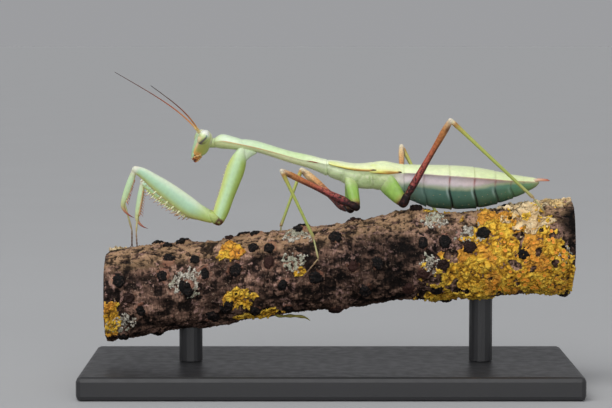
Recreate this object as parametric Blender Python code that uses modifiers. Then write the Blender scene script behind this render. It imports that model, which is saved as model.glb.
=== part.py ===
"""A praying mantis nymph walking on a cut length of branch, held up by a flat display stand.

Life size, in metres, +Z up. The mantis faces -X and its left side faces -Y. The origin is the
centre of the underside of the stand's base. The trunk is one tapering form, parted into its
segments by thin cuts. Each leg is a chain of named lengths and directions.
"""

import bisect
import math

import bmesh
import bpy
from mathutils import Matrix, Vector

MM = 0.001
GAP = 0.15 * MM  # clearance between neighbouring pieces
SIDES = {"left": -1, "right": 1}  # which way each side lies along Y

# The trunk's outline in millimetres: (x, height), or (x, half width) for TRUNK_WIDTH.
TRUNK_TOP = ((-20.0, 42.5), (-18.6, 43.2), (-15.6, 42.5), (-12.7, 42.0), (-7.0, 40.3), (-3.3, 39.5),
             (-0.5, 38.8), (4.5, 38.2), (9.0, 38.5), (13.0, 38.0), (21.0, 37.8), (25.5, 37.4),
             (31.5, 36.2), (36.0, 35.6))
TRUNK_EDGE = ((-20.0, 42.0), (-18.0, 42.0), (-12.7, 40.9), (-5.0, 38.9), (-1.0, 38.2), (5.0, 37.0),
              (13.0, 36.4), (20.0, 35.9), (31.0, 35.1), (36.0, 34.9))
TRUNK_BELLY = ((-20.0, 40.8), (-16.0, 40.5), (-12.7, 40.1), (-7.0, 38.3), (-3.3, 37.2), (0.0, 35.8),
               (4.5, 34.0), (9.0, 33.5), (13.0, 32.0), (16.0, 30.8), (20.5, 30.3), (25.5, 30.6),
               (29.0, 31.5), (33.0, 33.0), (36.0, 34.4))
TRUNK_WIDTH = ((-20.0, 1.4), (-17.5, 1.9), (-15.0, 2.1), (-11.5, 1.6), (-7.0, 1.35), (-1.0, 1.6),
               (3.5, 2.2), (9.5, 2.5), (13.0, 2.5), (19.0, 3.6), (24.0, 3.7), (30.0, 2.9),
               (34.0, 1.5), (36.0, 0.7))
TRUNK_SIDES = 20
THORAX_PARTS = (("prothorax", -19.9, -0.6, 11),  # name, front, back, rings in its loft
                ("mesothorax", -0.6, 7.2, 6),
                ("metathorax", 7.2, 12.6, 5))
ABDOMEN_CUTS = (12.6, 16.2, 20.6, 25.1, 28.6, 31.3, 33.4)
ABDOMEN_TIP = 35.8

# The head, in its own frame: the neck joint is its origin, -X is forward and +Z runs to the crown.
NECK_JOINT = Vector((-20.5, 0.0, 41.8)) * MM
HEAD_PITCH = math.radians(20)
HEAD_YAW = math.radians(11)
# Level sections in millimetres: (height, half width, reach forward, reach of the back).
HEAD_SECTIONS = ((1.5, 1.2, 1.9, 0.6), (1.15, 2.0, 2.25, 0.15), (0.5, 2.55, 2.5, -0.1),
                 (-0.4, 2.5, 2.6, -0.1), (-1.3, 2.0, 2.6, -0.1), (-2.0, 1.55, 2.55, 0.0),
                 (-2.5, 1.25, 2.5, 0.35), (-3.0, 1.05, 2.4, 1.0))
LABRUM_SECTIONS = ((-3.15, 0.95, 2.4, 1.75), (-3.5, 0.85, 2.35, 1.7), (-3.95, 0.5, 2.2, 1.6))
MANDIBLE_SECTIONS = ((-2.0, 0.8, 1.6, 0.5), (-3.1, 0.95, 1.6, 0.55), (-3.7, 0.8, 1.5, 0.75),
                     (-4.1, 0.45, 1.45, 0.95))
HEAD_SIDES = 16
EYE_PLACE = (-1.75, 2.7, 0.35)
EYE_SIZE = (0.92, 0.95, 1.3)
EYE_TILT = math.radians(10)
ANTENNA_PLACE = (-2.35, 0.5, 0.85)
ANTENNA_LENGTH = 18.0 * MM
ANTENNA_RADIUS = (0.34, 0.25)  # at the root, and from a third of its length on
ANTENNA_RISE = {"left": (math.radians(46), math.radians(22)),  # at the root, at the tip
                "right": (math.radians(53), math.radians(30))}
ANTENNA_SWING = {"left": math.radians(-62), "right": math.radians(1)}
NECK_PATH = ((-22.2, 41.3), (-20.9, 41.6), (-19.98, 41.6))  # (x, height), in millimetres
NECK_RADIUS = 0.85

# Each leg: lengths in millimetres of coxa, trochanter, femur, tibia, basitarsus and tarsus tip.
LEG_LENGTHS = {"fore": (12.5, 1.2, 15.4, 6.1, 5.0, 3.9),
               "mid": (4.9, 1.0, 14.4, 13.0, 3.6, 4.2),
               "hind": (4.4, 1.1, 16.3, 19.6, 3.0, 3.0)}
LEG_ROOTS = {"fore": (-15.1, 1.4, 40.4), "mid": (3.6, 1.5, 35.0), "hind": (10.0, 1.6, 35.0)}
# Directions in degrees: the turn from straight ahead (+ to the right side), and the rise.
LEG_POSE = {("left", "fore"): ((-20, -70), (-4, 31), (20, -69), (148, -70), (85, -50)),
            ("right", "fore"): ((17, -69), (35, 19), (-15, -78), (-92, -30), (-97, -25)),
            ("left", "mid"): ((-105, -55), (-26, 25), (151, -62), (-147, -74), (2, -52)),
            ("right", "mid"): ((84, -81), (53, 24), (-67, -46), (80, -68), (20, -54)),
            ("left", "hind"): ((-150, -50), (-140, 55), (166, -42), (170, -35), (-168, -34)),
            ("right", "hind"): ((152, -50), (92, 30), (-122, -46), (165, -30), (172, -32))}
TROCHANTER_RADIUS = {"fore": 1.0, "mid": 0.72, "hind": 0.8}
END_ROUNDING = ((0.0, 0.35), (0.2, 0.7), (0.7, 0.95))  # (inset in half thicknesses, share of full size)
# Thickness in millimetres along each segment: (share of its length, in the leg's plane, across it).
COXA_SIZES = {"fore": ((0.0, 2.8, 2.2), (0.28, 3.3, 2.3), (0.65, 2.7, 2.1), (0.9, 2.9, 2.1),
                       (1.0, 2.8, 2.0)),
              "mid": ((0.0, 2.2, 1.9), (0.6, 2.1, 1.8), (1.0, 1.6, 1.5)),
              "hind": ((0.0, 2.6, 2.0), (0.6, 2.3, 1.8), (1.0, 1.7, 1.5))}
FEMUR_SIZES = {"fore": ((0.0, 2.4, 1.7), (0.3, 3.4, 1.9), (0.6, 3.1, 1.8), (0.9, 1.9, 1.3),
                        (1.0, 1.4, 1.1)),
               "mid": ((0.0, 1.3, 1.1), (0.4, 0.95, 0.85), (0.8, 1.05, 0.9), (1.0, 0.8, 0.8)),
               "hind": ((0.0, 1.5, 1.3), (0.4, 1.15, 1.0), (0.8, 1.0, 0.9), (1.0, 0.85, 0.8))}
TIBIA_SIZES = {"mid": ((0.0, 0.75, 0.7), (0.5, 0.6, 0.6), (1.0, 0.6, 0.6)),
               "hind": ((0.0, 0.85, 0.8), (0.5, 0.7, 0.65), (1.0, 0.6, 0.6))}
FORE_TIBIA_RADII = (0.45, 0.6, 0.56, 0.45, 0.32, 0.28, 0.25)
CLAW_REACH = (1.9 * MM, 3.3 * MM)  # down the shin, and across towards the thigh
CLAW_CURL = math.radians(75)
TARSUS_RADIUS = 0.26
FOOT_SET = (0.6 * MM, 0.4 * MM)  # the fore foot's root, to the shin's outer side and behind it
FEMUR_SPINES = 10
TIBIA_SPINES = 7

# Wing pads: x of the root and tip, and the angles on the trunk's section that the pad spans.
WING_PADS = {"fore": (-0.2, 8.0), "hind": (8.3, 13.2)}
PAD_ANGLES = (math.radians(2), math.radians(62))
PAD_THICKNESS = 0.5 * MM
PAD_SWELL = 1.11  # how far the pads stand out from the trunk's own section

CERCUS_ROOT = (34.8, 0.75, 35.25)
CERCUS_LENGTH = 2.9 * MM

# The perch: (x, height of its axis) and (x, radius), in millimetres.
PERCH_ENDS = (-38.5, 41.5)
PERCH_AXIS = ((-40.0, 15.2), (-22.0, 17.4), (-5.0, 19.7), (12.0, 21.8), (20.6, 22.3), (29.0, 22.8),
              (42.0, 24.3))
PERCH_RADIUS = ((-40.0, 7.85), (-22.0, 7.3), (-5.0, 7.15), (12.0, 7.35), (21.0, 7.3), (29.0, 7.45),
                (42.0, 7.95))
PERCH_SIDES = 18
PERCH_RINGS = 15

BASE_SIZE = (84.0, 40.0, 4.0)
BASE_ROUNDING = 0.8 * MM
ROD_PLACES = {"left": -24.0, "right": 26.0}
ROD_RADIUS = 2.0 * MM

GREEN = (0.50, 0.68, 0.33)
PALE_GREEN = (0.72, 0.83, 0.55)
DARK_GREEN = (0.16, 0.28, 0.20)
RED_BROWN = (0.36, 0.10, 0.07)
DARK_BROWN = (0.09, 0.05, 0.04)
ORANGE_BROWN = (0.55, 0.28, 0.12)
YELLOW_GREEN = (0.52, 0.55, 0.18)
BARK_BROWN = (0.30, 0.22, 0.18)
STAND_BLACK = (0.05, 0.05, 0.055)


def clear_scene():
    for item in list(bpy.data.objects):
        bpy.data.objects.remove(item)


def make_collection(name):
    collection = bpy.data.collections.new(name)
    bpy.context.scene.collection.children.link(collection)
    return collection


def make_material(name, colour, roughness):
    """Makes a plain material with the part's colour and finish."""
    material = bpy.data.materials.new(name)
    material.use_nodes = True
    shader = material.node_tree.nodes["Principled BSDF"]
    shader.inputs["Base Color"].default_value = (*colour, 1.0)
    shader.inputs["Roughness"].default_value = roughness
    shader.inputs["Metallic"].default_value = 0.0
    return material


def add_mesh(name, build, colour, roughness=0.45):
    """Makes one sub-part from a bmesh, with its faces pointing out."""
    bmesh.ops.recalc_face_normals(build, faces=build.faces)
    mesh = bpy.data.meshes.new(name)
    build.to_mesh(mesh)
    build.free()
    mesh.shade_smooth()
    mesh.set_sharp_from_angle(angle=math.radians(50))
    part = bpy.data.objects.new(name, mesh)
    parts.objects.link(part)
    mesh.materials.append(make_material(name, colour, roughness))
    return part


def read(profile, x):
    """The value at x of the smooth curve through the profile's (x, value) points."""
    places = [point[0] for point in profile]
    values = [point[1] for point in profile]
    last = len(places) - 1
    i = min(max(bisect.bisect_right(places, x) - 1, 0), last - 1)

    def slope(k):
        low, high = max(k - 1, 0), min(k + 1, last)
        return (values[high] - values[low]) / (places[high] - places[low])

    span = places[i + 1] - places[i]
    t = (x - places[i]) / span
    return ((2 * t**3 - 3 * t**2 + 1) * values[i] + (t**3 - 2 * t**2 + t) * span * slope(i)
            + (3 * t**2 - 2 * t**3) * values[i + 1] + (t**3 - t**2) * span * slope(i + 1))


def loft_mesh(rings):
    """A closed bmesh through rings of like point counts, with flat ends."""
    build = bmesh.new()
    loops = [[build.verts.new(point) for point in ring] for ring in rings]
    sides = len(loops[0])
    for one, two in zip(loops, loops[1:]):
        for k in range(sides):
            build.faces.new((one[k], one[(k + 1) % sides], two[(k + 1) % sides], two[k]))
    build.faces.new(reversed(loops[0]))
    build.faces.new(loops[-1])
    return build


def tube_mesh(points, radii):
    """A closed mesh along a bevelled curve whose radius, in millimetres, is given at each point."""
    curve = bpy.data.curves.new("path", "CURVE")
    curve.dimensions = "3D"
    curve.bevel_depth = MM
    curve.bevel_resolution = 2
    curve.use_fill_caps = True
    spline = curve.splines.new("POLY")
    spline.points.add(len(points) - 1)
    for target, point, radius in zip(spline.points, points, radii):
        target.co = (*point, 1.0)
        target.radius = radius
    guide = bpy.data.objects.new("path", curve)
    parts.objects.link(guide)
    graph = bpy.context.evaluated_depsgraph_get()
    mesh = bpy.data.meshes.new_from_object(guide.evaluated_get(graph))
    bpy.data.objects.remove(guide)
    build = bmesh.new()
    build.from_mesh(mesh)
    bmesh.ops.remove_doubles(build, verts=build.verts, dist=1e-7)
    return build


def helper(name, mesh, place):
    """A hidden solid that cuts a part, or is joined to one."""
    cutter = bpy.data.objects.new(name, mesh)
    cutter.matrix_world = place
    cutter.hide_render = True
    cutter.display_type = "WIRE"
    cutters.objects.link(cutter)
    return cutter


def solid_of(part):
    graph = bpy.context.evaluated_depsgraph_get()
    return bpy.data.meshes.new_from_object(part.evaluated_get(graph))


def keep_clear(part, *neighbours):
    """Cuts the part back until it clears each neighbour by the gap."""
    bpy.context.view_layer.update()
    for neighbour in neighbours:
        name = part.name + "_clears_" + neighbour.name
        cutter = helper(name, solid_of(neighbour), neighbour.matrix_world)
        swell = cutter.modifiers.new("swell", "DISPLACE")
        swell.strength = GAP
        swell.mid_level = 0.0
        cut = part.modifiers.new("clear " + neighbour.name, "BOOLEAN")
        cut.operation = "DIFFERENCE"
        cut.object = cutter


def join_shapes(part, build, name):
    """Joins the separate closed shapes in the bmesh to the part."""
    mesh = bpy.data.meshes.new(name)
    build.to_mesh(mesh)
    build.free()
    join = part.modifiers.new(name, "BOOLEAN")
    join.operation = "UNION"
    join.object = helper(part.name + "_" + name, mesh, Matrix.Identity(4))


def direction(turn, rise):
    """The unit vector at a turn from straight ahead and a rise, both in radians."""
    return Vector((-math.cos(rise) * math.cos(turn), math.cos(rise) * math.sin(turn), math.sin(rise)))


def trunk_point(x, angle, swell=1.0):
    """A point on the trunk at x, by its angle up from the left-right line; swell scales the section."""
    top, edge, belly = read(TRUNK_TOP, x), read(TRUNK_EDGE, x), read(TRUNK_BELLY, x)
    reach = top - edge if math.sin(angle) > 0 else edge - belly
    across = read(TRUNK_WIDTH, x) * math.copysign(abs(math.cos(angle)) ** 0.85, math.cos(angle))
    return Vector((x, across * swell, edge + reach * math.sin(angle) * swell)) * MM


def trunk_ring(x, swell=1.0):
    return [trunk_point(x, math.tau * k / TRUNK_SIDES, swell) for k in range(TRUNK_SIDES)]


def make_thorax():
    """The three segments of the thorax; the first is the long neck-like prothorax."""
    made = {}
    for name, front, back, rings in THORAX_PARTS:
        start, end = front + GAP / MM / 2, back - GAP / MM / 2
        places = [start + (end - start) * k / (rings - 1) for k in range(rings)]
        swells = [0.92] + [1.0] * (rings - 2) + [0.96]
        made[name] = add_mesh(name, loft_mesh(map(trunk_ring, places, swells)), PALE_GREEN)
    return made


def make_abdomen():
    """The abdomen's segments, each a little waisted where it meets the next, and its last plate."""
    made = []
    ends = (*ABDOMEN_CUTS, ABDOMEN_TIP)
    for number, (front, back) in enumerate(zip(ends, ends[1:]), 1):
        start, end = front + GAP / MM / 2, back - GAP / MM / 2
        swells = (0.94, 0.995, 1.0, 0.95) if back != ABDOMEN_TIP else (0.94, 0.98, 0.85, 0.5)
        places = [start + (end - start) * share for share in (0.0, 0.16, 0.86, 1.0)]
        name = "abdomen_tip" if back == ABDOMEN_TIP else f"abdomen_{number}"
        made.append(add_mesh(name, loft_mesh(map(trunk_ring, places, swells)), DARK_GREEN))
    return made


def make_wing_pad(side, pair):
    """A flat lobe that lies on the upper flank, sunk into the segment under it."""
    root, tip = WING_PADS[pair]
    low, high = PAD_ANGLES
    outer = []
    steps = 6
    middle = low + (high - low) * 0.42
    for k in range(steps):
        share = k / (steps - 1)
        x = root + (tip - root) * math.sin(share * math.pi / 2)
        narrow = math.sqrt(1 - 0.85 * share**3)
        angles = [middle + (low - middle) * narrow, middle, middle + (high - middle) * narrow]
        if side == "left":
            angles = [math.pi - angle for angle in angles]
        outer.append([trunk_point(x, angle, PAD_SWELL) for angle in angles])
    build = bmesh.new()
    rows = [[build.verts.new(point) for point in row] for row in outer]
    for one, two in zip(rows, rows[1:]):
        for k in range(2):
            build.faces.new((one[k], one[k + 1], two[k + 1], two[k]))
    pad = add_mesh(f"wing_pad_{pair}_{side}", build, YELLOW_GREEN)
    shell = pad.modifiers.new("thickness", "SOLIDIFY")
    shell.thickness = PAD_THICKNESS
    shell.offset = 1.0 if pad.data.polygons[0].normal.y * SIDES[side] < 0 else -1.0
    return pad


def make_cercus(side, tip):
    """One of the pair of short feelers at the tail."""
    x, y, z = CERCUS_ROOT
    root = Vector((x, y * SIDES[side], z)) * MM
    path = [root + Vector((share, 0.10 * SIDES[side] * share, 0.03 * math.sin(share * 3))) * CERCUS_LENGTH
            for share in (0.0, 0.35, 0.7, 1.0)]
    cercus = add_mesh("cercus_" + side, tube_mesh(path, (0.3, 0.34, 0.3, 0.25)), ORANGE_BROWN)
    keep_clear(cercus, tip)


def oval(rise, wide, front, back):
    """A level section of the head: its height, half width, and reach forward and back."""
    middle, reach = (front + back) / 2, (front - back) / 2
    angles = [math.tau * k / HEAD_SIDES for k in range(HEAD_SIDES)]
    return [Vector((-middle - reach * math.cos(angle), wide * math.sin(angle), rise)) * MM
            for angle in angles]


def head_part(name, sections, colour, frame):
    """A sub-part of the head, lofted through level sections."""
    part = add_mesh(name, loft_mesh([oval(*section) for section in sections]), colour)
    part.parent = frame
    return part


def make_head():
    """Head, eyes, mouthparts and antennae, placed by one empty at the neck joint."""
    frame = bpy.data.objects.new("head_frame", None)
    parts.objects.link(frame)
    frame.location = NECK_JOINT
    frame.rotation_euler = (0.0, HEAD_PITCH, HEAD_YAW)

    head = head_part("head", HEAD_SECTIONS, PALE_GREEN, frame)
    head_part("labrum", LABRUM_SECTIONS, GREEN, frame)
    mandibles = head_part("mandibles", MANDIBLE_SECTIONS, ORANGE_BROWN, frame)
    for side, across in SIDES.items():
        build = bmesh.new()
        bmesh.ops.create_uvsphere(build, u_segments=12, v_segments=8, radius=MM)
        bmesh.ops.scale(build, vec=EYE_SIZE, verts=build.verts)
        eye = add_mesh("eye_" + side, build, YELLOW_GREEN, 0.2)
        eye.parent = frame
        eye.location = Vector((EYE_PLACE[0], EYE_PLACE[1] * across, EYE_PLACE[2])) * MM
        eye.rotation_euler = (EYE_TILT * across, EYE_TILT, 0.0)
        keep_clear(head, eye)
    keep_clear(mandibles, head)
    for side in SIDES:
        antenna = add_mesh("antenna_" + side, antenna_mesh(side, frame), ORANGE_BROWN)
        keep_clear(antenna, head)
    return head


def antenna_mesh(side, frame):
    """A long feeler that rises steeply from the brow and levels out along its length."""
    bpy.context.view_layer.update()
    place = Vector((ANTENNA_PLACE[0], ANTENNA_PLACE[1] * SIDES[side], ANTENNA_PLACE[2])) * MM
    point = frame.matrix_world @ place
    steep, level = ANTENNA_RISE[side]
    steps = 11
    path = [point]
    for k in range(steps):
        share = (k + 0.5) / steps
        rise = level + (steep - level) * (1 - share) ** 3
        point = point + direction(ANTENNA_SWING[side], rise) * (ANTENNA_LENGTH / steps)
        path.append(point)
    thick, thin = ANTENNA_RADIUS
    return tube_mesh(path, [thick + (thin - thick) * min(1.0, 3 * k / steps) for k in range(steps + 1)])


def make_neck(head):
    path = [Vector((x, 0.0, height)) * MM for x, height in NECK_PATH]
    neck = add_mesh("neck", tube_mesh(path, [NECK_RADIUS] * len(path)), GREEN)
    keep_clear(neck, head)


def limb_mesh(start, end, plane, sizes, sides, blunt_start=False):
    """A tapering limb between two points; sizes are (share, thickness in the plane, thickness across).

    Both ends are rounded off in three steps, but a blunt start keeps its full size.
    """
    along = (end - start).normalized()
    broad = plane.cross(along).normalized()
    length = (end - start).length
    deep = [(share, depth * MM / 2) for share, depth, width in sizes]
    wide = [(share, width * MM / 2) for share, depth, width in sizes]
    heel, nose = deep[0][1] / length, deep[-1][1] / length
    stops = [(share, 1.0) for share, depth, width in sizes if heel < share < 1 - nose]
    stops += [(1 - nose * inset, scale) for inset, scale in reversed(END_ROUNDING)]
    rounded = [(heel * inset, scale) for inset, scale in END_ROUNDING]
    stops = ([(0.0, 1.0)] if blunt_start else rounded) + stops
    rings = []
    for share, scale in stops:
        centre = start + along * length * share
        depth, width = read(deep, share) * scale, read(wide, share) * scale
        rings.append([centre + broad * depth * math.cos(math.tau * k / sides)
                      + plane * width * math.sin(math.tau * k / sides) for k in range(sides)])
    return loft_mesh(rings)


def joints_of(side, pair):
    """The leg's joints from root to toe."""
    x, y, z = LEG_ROOTS[pair]
    points = [Vector((x, y * SIDES[side], z)) * MM]
    coxa, trochanter, femur, tibia, basitarsus, toe = LEG_LENGTHS[pair]
    ways = [direction(math.radians(turn), math.radians(rise)) for turn, rise in LEG_POSE[side, pair]]
    for way, length in zip((ways[0], ways[1], ways[1], ways[2], ways[3], ways[4]),
                           (coxa, trochanter, femur, tibia, basitarsus, toe)):
        points.append(points[-1] + way * length * MM)
    return points


def spikes(start, end, way, count, lengths):
    """A row of spines between two points, joined later to the limb they stand on."""
    build = bmesh.new()
    turn = way.to_track_quat("Z", "Y").to_matrix().to_4x4()
    for k in range(count):
        length = lengths[k % len(lengths)] * MM
        place = start.lerp(end, (k + 0.5) / count) + way * (length / 2 - 0.3 * MM)
        bmesh.ops.create_cone(build, cap_ends=True, segments=5, radius1=0.26 * MM, radius2=0.05 * MM,
                              depth=length, matrix=Matrix.Translation(place) @ turn)
    return build


def across_from(along, towards):
    """The unit vector square to one direction that leans most towards another."""
    return (towards - along * towards.dot(along)).normalized()


def make_fore_femur(name, points, plane):
    """The fore thigh: deep and flat, with a row of spines under it."""
    start, end = points[2], points[3]
    along = (end - start).normalized()
    under = across_from(along, points[4] - end)
    femur = add_mesh(name, limb_mesh(start, end, plane, FEMUR_SIZES["fore"], 12), PALE_GREEN)
    row = spikes(start.lerp(end, 0.28) + under * 1.62 * MM, start.lerp(end, 0.9) + under * 0.95 * MM,
                 (under + along * 0.25).normalized(), FEMUR_SPINES, (1.3, 0.9))
    join_shapes(femur, row, "spines")
    return femur


def make_fore_tibia(name, points):
    """The fore shin: a short thick tube with a row of spines, ending in a strong hooked claw."""
    knee, ankle = points[3], points[4]
    along = (ankle - knee).normalized()
    inward = across_from(along, points[2] - knee)
    path = [knee, knee.lerp(ankle, 0.22), knee.lerp(ankle, 0.7), ankle]
    for share in (0.35, 0.7, 1.0):
        curl = CLAW_CURL * share
        down, across = CLAW_REACH[0] * math.sin(curl), CLAW_REACH[1] * (1 - math.cos(curl))
        path.append(ankle + along * down + inward * across)
    tibia = add_mesh(name, tube_mesh(path, FORE_TIBIA_RADII), GREEN)
    row = spikes(knee.lerp(ankle, 0.3) + inward * 0.45 * MM, ankle + inward * 0.35 * MM,
                 (inward + along * 0.5).normalized(), TIBIA_SPINES, (0.9, 1.1))
    join_shapes(tibia, row, "spines")
    return tibia


def perch_reach(x, angle):
    """The distance in millimetres from the branch's axis to its uneven bark."""
    bump = 0.18 * math.sin(3 * angle + x * 0.31) + 0.15 * math.sin(5 * angle - x * 0.53)
    return read(PERCH_RADIUS, x) + bump


def on_bark(point):
    """The place straight out from the branch's axis where a foot through the point rests on the bark."""
    x = point.x / MM
    height = read(PERCH_AXIS, x)
    angle = math.atan2(point.z / MM - height, point.y / MM)
    reach = perch_reach(x, angle) + TARSUS_RADIUS + GAP / MM
    return Vector((x, reach * math.cos(angle), height + reach * math.sin(angle))) * MM


def make_tarsus(side, pair, points):
    """The foot: a long first segment and four short ones, ending on the bark."""
    ankle, bend, toe = points[4], points[5], on_bark(points[6])
    if pair == "fore":
        along = (ankle - points[3]).normalized()
        outside = Vector((0.0, SIDES[side], 0.0))
        ankle = ankle + outside * FOOT_SET[0] - across_from(along, points[2] - points[3]) * FOOT_SET[1]
    else:
        bend = on_bark(bend)
    start = ankle + (bend - ankle).normalized() * 2 * GAP
    path = [start, ankle.lerp(bend, 0.5), bend.lerp(ankle, 0.1)]
    path += [bend.lerp(toe, 0.12), bend.lerp(toe, 0.55), toe]
    tube = tube_mesh(path, [TARSUS_RADIUS] * len(path))
    return add_mesh(f"{pair}_tarsus_{side}", tube, ORANGE_BROWN)


def make_leg(side, pair, trunk, perch):
    """One leg from hip to foot, in its own named pieces."""
    points = joints_of(side, pair)
    name = f"{pair}_%s_{side}"
    bend = (points[1] - points[0]).cross(points[3] - points[1]).normalized()
    shin_bend = (points[3] - points[2]).cross(points[4] - points[3]).normalized()
    hip = limb_mesh(points[0], points[1], bend, COXA_SIZES[pair], 10, True)
    coxa = add_mesh(name % "coxa", hip, PALE_GREEN if pair == "fore" else GREEN)
    keep_clear(coxa, *trunk)

    radius = TROCHANTER_RADIUS[pair]
    along = (points[2] - points[1]).normalized()
    path = (points[1] - along * 0.6 * radius * MM, points[1], points[2] - along * GAP)
    tube = tube_mesh(path, (0.6 * radius, radius, 0.9 * radius))
    trochanter = add_mesh(name % "trochanter", tube, DARK_BROWN)
    keep_clear(trochanter, coxa, *trunk)

    if pair == "fore":
        femur = make_fore_femur(name % "femur", points, bend)
        tibia = make_fore_tibia(name % "tibia", points)
    else:
        thigh = limb_mesh(points[2], points[3], bend, FEMUR_SIZES[pair], 8)
        shin = limb_mesh(points[3], points[4], shin_bend, TIBIA_SIZES[pair], 8)
        femur = add_mesh(name % "femur", thigh, RED_BROWN)
        tibia = add_mesh(name % "tibia", shin, YELLOW_GREEN)
    keep_clear(femur, trochanter, coxa)
    keep_clear(tibia, femur)
    tarsus = make_tarsus(side, pair, points)
    keep_clear(tarsus, tibia, perch)


def make_perch():
    """A cut length of branch, a little bent and uneven, with sawn ends."""
    rings = []
    start, end = PERCH_ENDS
    for step in range(PERCH_RINGS):
        x = start + (end - start) * step / (PERCH_RINGS - 1)
        height = read(PERCH_AXIS, x)
        angles = [math.tau * k / PERCH_SIDES for k in range(PERCH_SIDES)]
        rings.append([Vector((x, perch_reach(x, angle) * math.cos(angle),
                              height + perch_reach(x, angle) * math.sin(angle))) * MM for angle in angles])
    return add_mesh("perch_branch", loft_mesh(rings), BARK_BROWN, 0.9)


def make_stand(perch):
    """The display stand: a flat base and two short rods up to the perch."""
    build = bmesh.new()
    length, width, height = (size * MM for size in BASE_SIZE)
    bmesh.ops.create_cube(build, size=1.0, matrix=Matrix.Translation((0.0, 0.0, height / 2))
                          @ Matrix.Diagonal((length, width, height, 1.0)))
    base = add_mesh("stand_base", build, STAND_BLACK, 0.4)
    edge = base.modifiers.new("edge", "BEVEL")
    edge.width = BASE_ROUNDING
    edge.segments = 2
    for side, x in ROD_PLACES.items():
        build = bmesh.new()
        top = read(PERCH_AXIS, x) * MM
        bottom = height + GAP
        bmesh.ops.create_cone(build, cap_ends=True, segments=20, radius1=ROD_RADIUS, radius2=ROD_RADIUS,
                              depth=top - bottom,
                              matrix=Matrix.Translation((x * MM, 0.0, (top + bottom) / 2)))
        rod = add_mesh("stand_rod_" + side, build, STAND_BLACK, 0.4)
        keep_clear(rod, perch)


clear_scene()
parts = make_collection("praying_mantis")
cutters = make_collection("cutters")

the_perch = make_perch()
make_stand(the_perch)
thorax_parts = make_thorax()
abdomen_parts = make_abdomen()
the_head = make_head()
make_neck(the_head)
pads = [make_wing_pad(side_name, pair_name) for pair_name in WING_PADS for side_name in SIDES]
for segment in (thorax_parts["mesothorax"], thorax_parts["metathorax"], abdomen_parts[0]):
    keep_clear(segment, *pads)
for side_name in SIDES:
    make_cercus(side_name, abdomen_parts[-1])
    make_leg(side_name, "fore", [thorax_parts["prothorax"]], the_perch)
    make_leg(side_name, "mid", [thorax_parts["mesothorax"]], the_perch)
    make_leg(side_name, "hind", [thorax_parts["mesothorax"], thorax_parts["metathorax"], abdomen_parts[0]],
             the_perch)
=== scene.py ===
"""The looks of a praying mantis nymph that walks on a lichen-covered perch.

Metres, +Z up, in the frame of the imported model: the mantis faces -X and its left side faces -Y.
Skins are extruded from ring to ring. Each skin carries three marks that its colours follow: how far
along it a point lies, how far up round the ring, and how far to the side.
"""

import math
import random
from bisect import bisect_right
from functools import lru_cache

import bmesh
import bpy
from mathutils import Euler, Matrix, Vector, noise


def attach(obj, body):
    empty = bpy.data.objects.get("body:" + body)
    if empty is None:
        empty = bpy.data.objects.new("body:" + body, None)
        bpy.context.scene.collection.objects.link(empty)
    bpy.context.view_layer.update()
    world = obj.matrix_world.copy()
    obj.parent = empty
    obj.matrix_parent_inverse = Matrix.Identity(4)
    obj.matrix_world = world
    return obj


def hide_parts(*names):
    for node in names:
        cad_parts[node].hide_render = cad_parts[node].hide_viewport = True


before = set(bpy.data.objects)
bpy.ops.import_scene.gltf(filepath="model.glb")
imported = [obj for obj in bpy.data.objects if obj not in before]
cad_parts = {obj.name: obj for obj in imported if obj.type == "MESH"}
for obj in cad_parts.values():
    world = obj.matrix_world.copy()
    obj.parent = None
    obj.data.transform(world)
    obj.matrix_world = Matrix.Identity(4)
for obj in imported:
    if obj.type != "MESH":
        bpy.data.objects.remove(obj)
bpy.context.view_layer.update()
noise.seed_set(7)  # unset, the noise vectors would follow the clock
MM = 0.001
SIDES = {"left": -1, "right": 1}
UP, ACROSS, REAR = Vector((0.0, 0.0, 1.0)), Vector((0.0, 1.0, 0.0)), Vector((1.0, 0.0, 0.0))
MARKS = ("along", "up", "side")
STRAIGHT = ((0.0, 0.0), (1.0, 0.0))
ROUND_END = (0.06, 0.3, 0.65)  # the rings that close a limb's end, from its tip

# The trunk's outline in millimetres: (x, height), or (x, half width) for TRUNK_WIDTH.
TRUNK_TOP = ((-20.0, 42.5), (-18.6, 43.2), (-15.6, 42.5), (-12.7, 42.0), (-7.0, 40.3), (-3.3, 39.5),
             (-0.5, 38.8), (4.5, 38.2), (9.0, 38.5), (13.0, 38.0), (21.0, 37.8), (25.5, 37.4),
             (31.5, 36.2), (36.0, 35.6))
TRUNK_EDGE = ((-20.0, 42.0), (-18.0, 42.0), (-12.7, 40.9), (-5.0, 38.9), (-1.0, 38.2), (5.0, 37.0),
              (13.0, 36.4), (20.0, 35.9), (31.0, 35.1), (36.0, 34.9))
TRUNK_BELLY = ((-20.0, 40.8), (-16.0, 40.5), (-12.7, 40.1), (-7.0, 38.3), (-3.3, 37.2), (0.0, 35.8),
               (4.5, 34.0), (9.0, 33.5), (13.0, 32.0), (16.0, 30.8), (20.5, 30.3), (25.5, 30.6),
               (29.0, 31.5), (33.0, 33.0), (36.0, 34.4))
TRUNK_WIDTH = ((-20.0, 1.4), (-17.5, 1.9), (-15.0, 2.1), (-11.5, 1.6), (-7.0, 1.35), (-1.0, 1.6),
               (3.5, 2.2), (9.5, 2.5), (13.0, 2.5), (19.0, 3.6), (24.0, 3.7), (30.0, 2.9),
               (34.0, 1.5), (36.0, 0.7))
TRUNK_SIDES = 72
COLLAR = -19.9  # where the long first plate of the thorax begins
COLLAR_CURL = ((0.3, 0.6), (0.06, 0.66), (0.02, 0.74), (0.14, 0.84), (0.4, 0.92), (0.8, 0.975), (1.2, 1.0))
LAP_REACH = (0.35, 0.45)  # how far a lap between two plates reaches, ahead of its cut and behind it
THORAX_CUTS = (-0.6, 7.2)
ABDOMEN_CUTS = (12.6, 16.0, 20.35, 24.6, 28.2, 30.9, 33.1)
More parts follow.
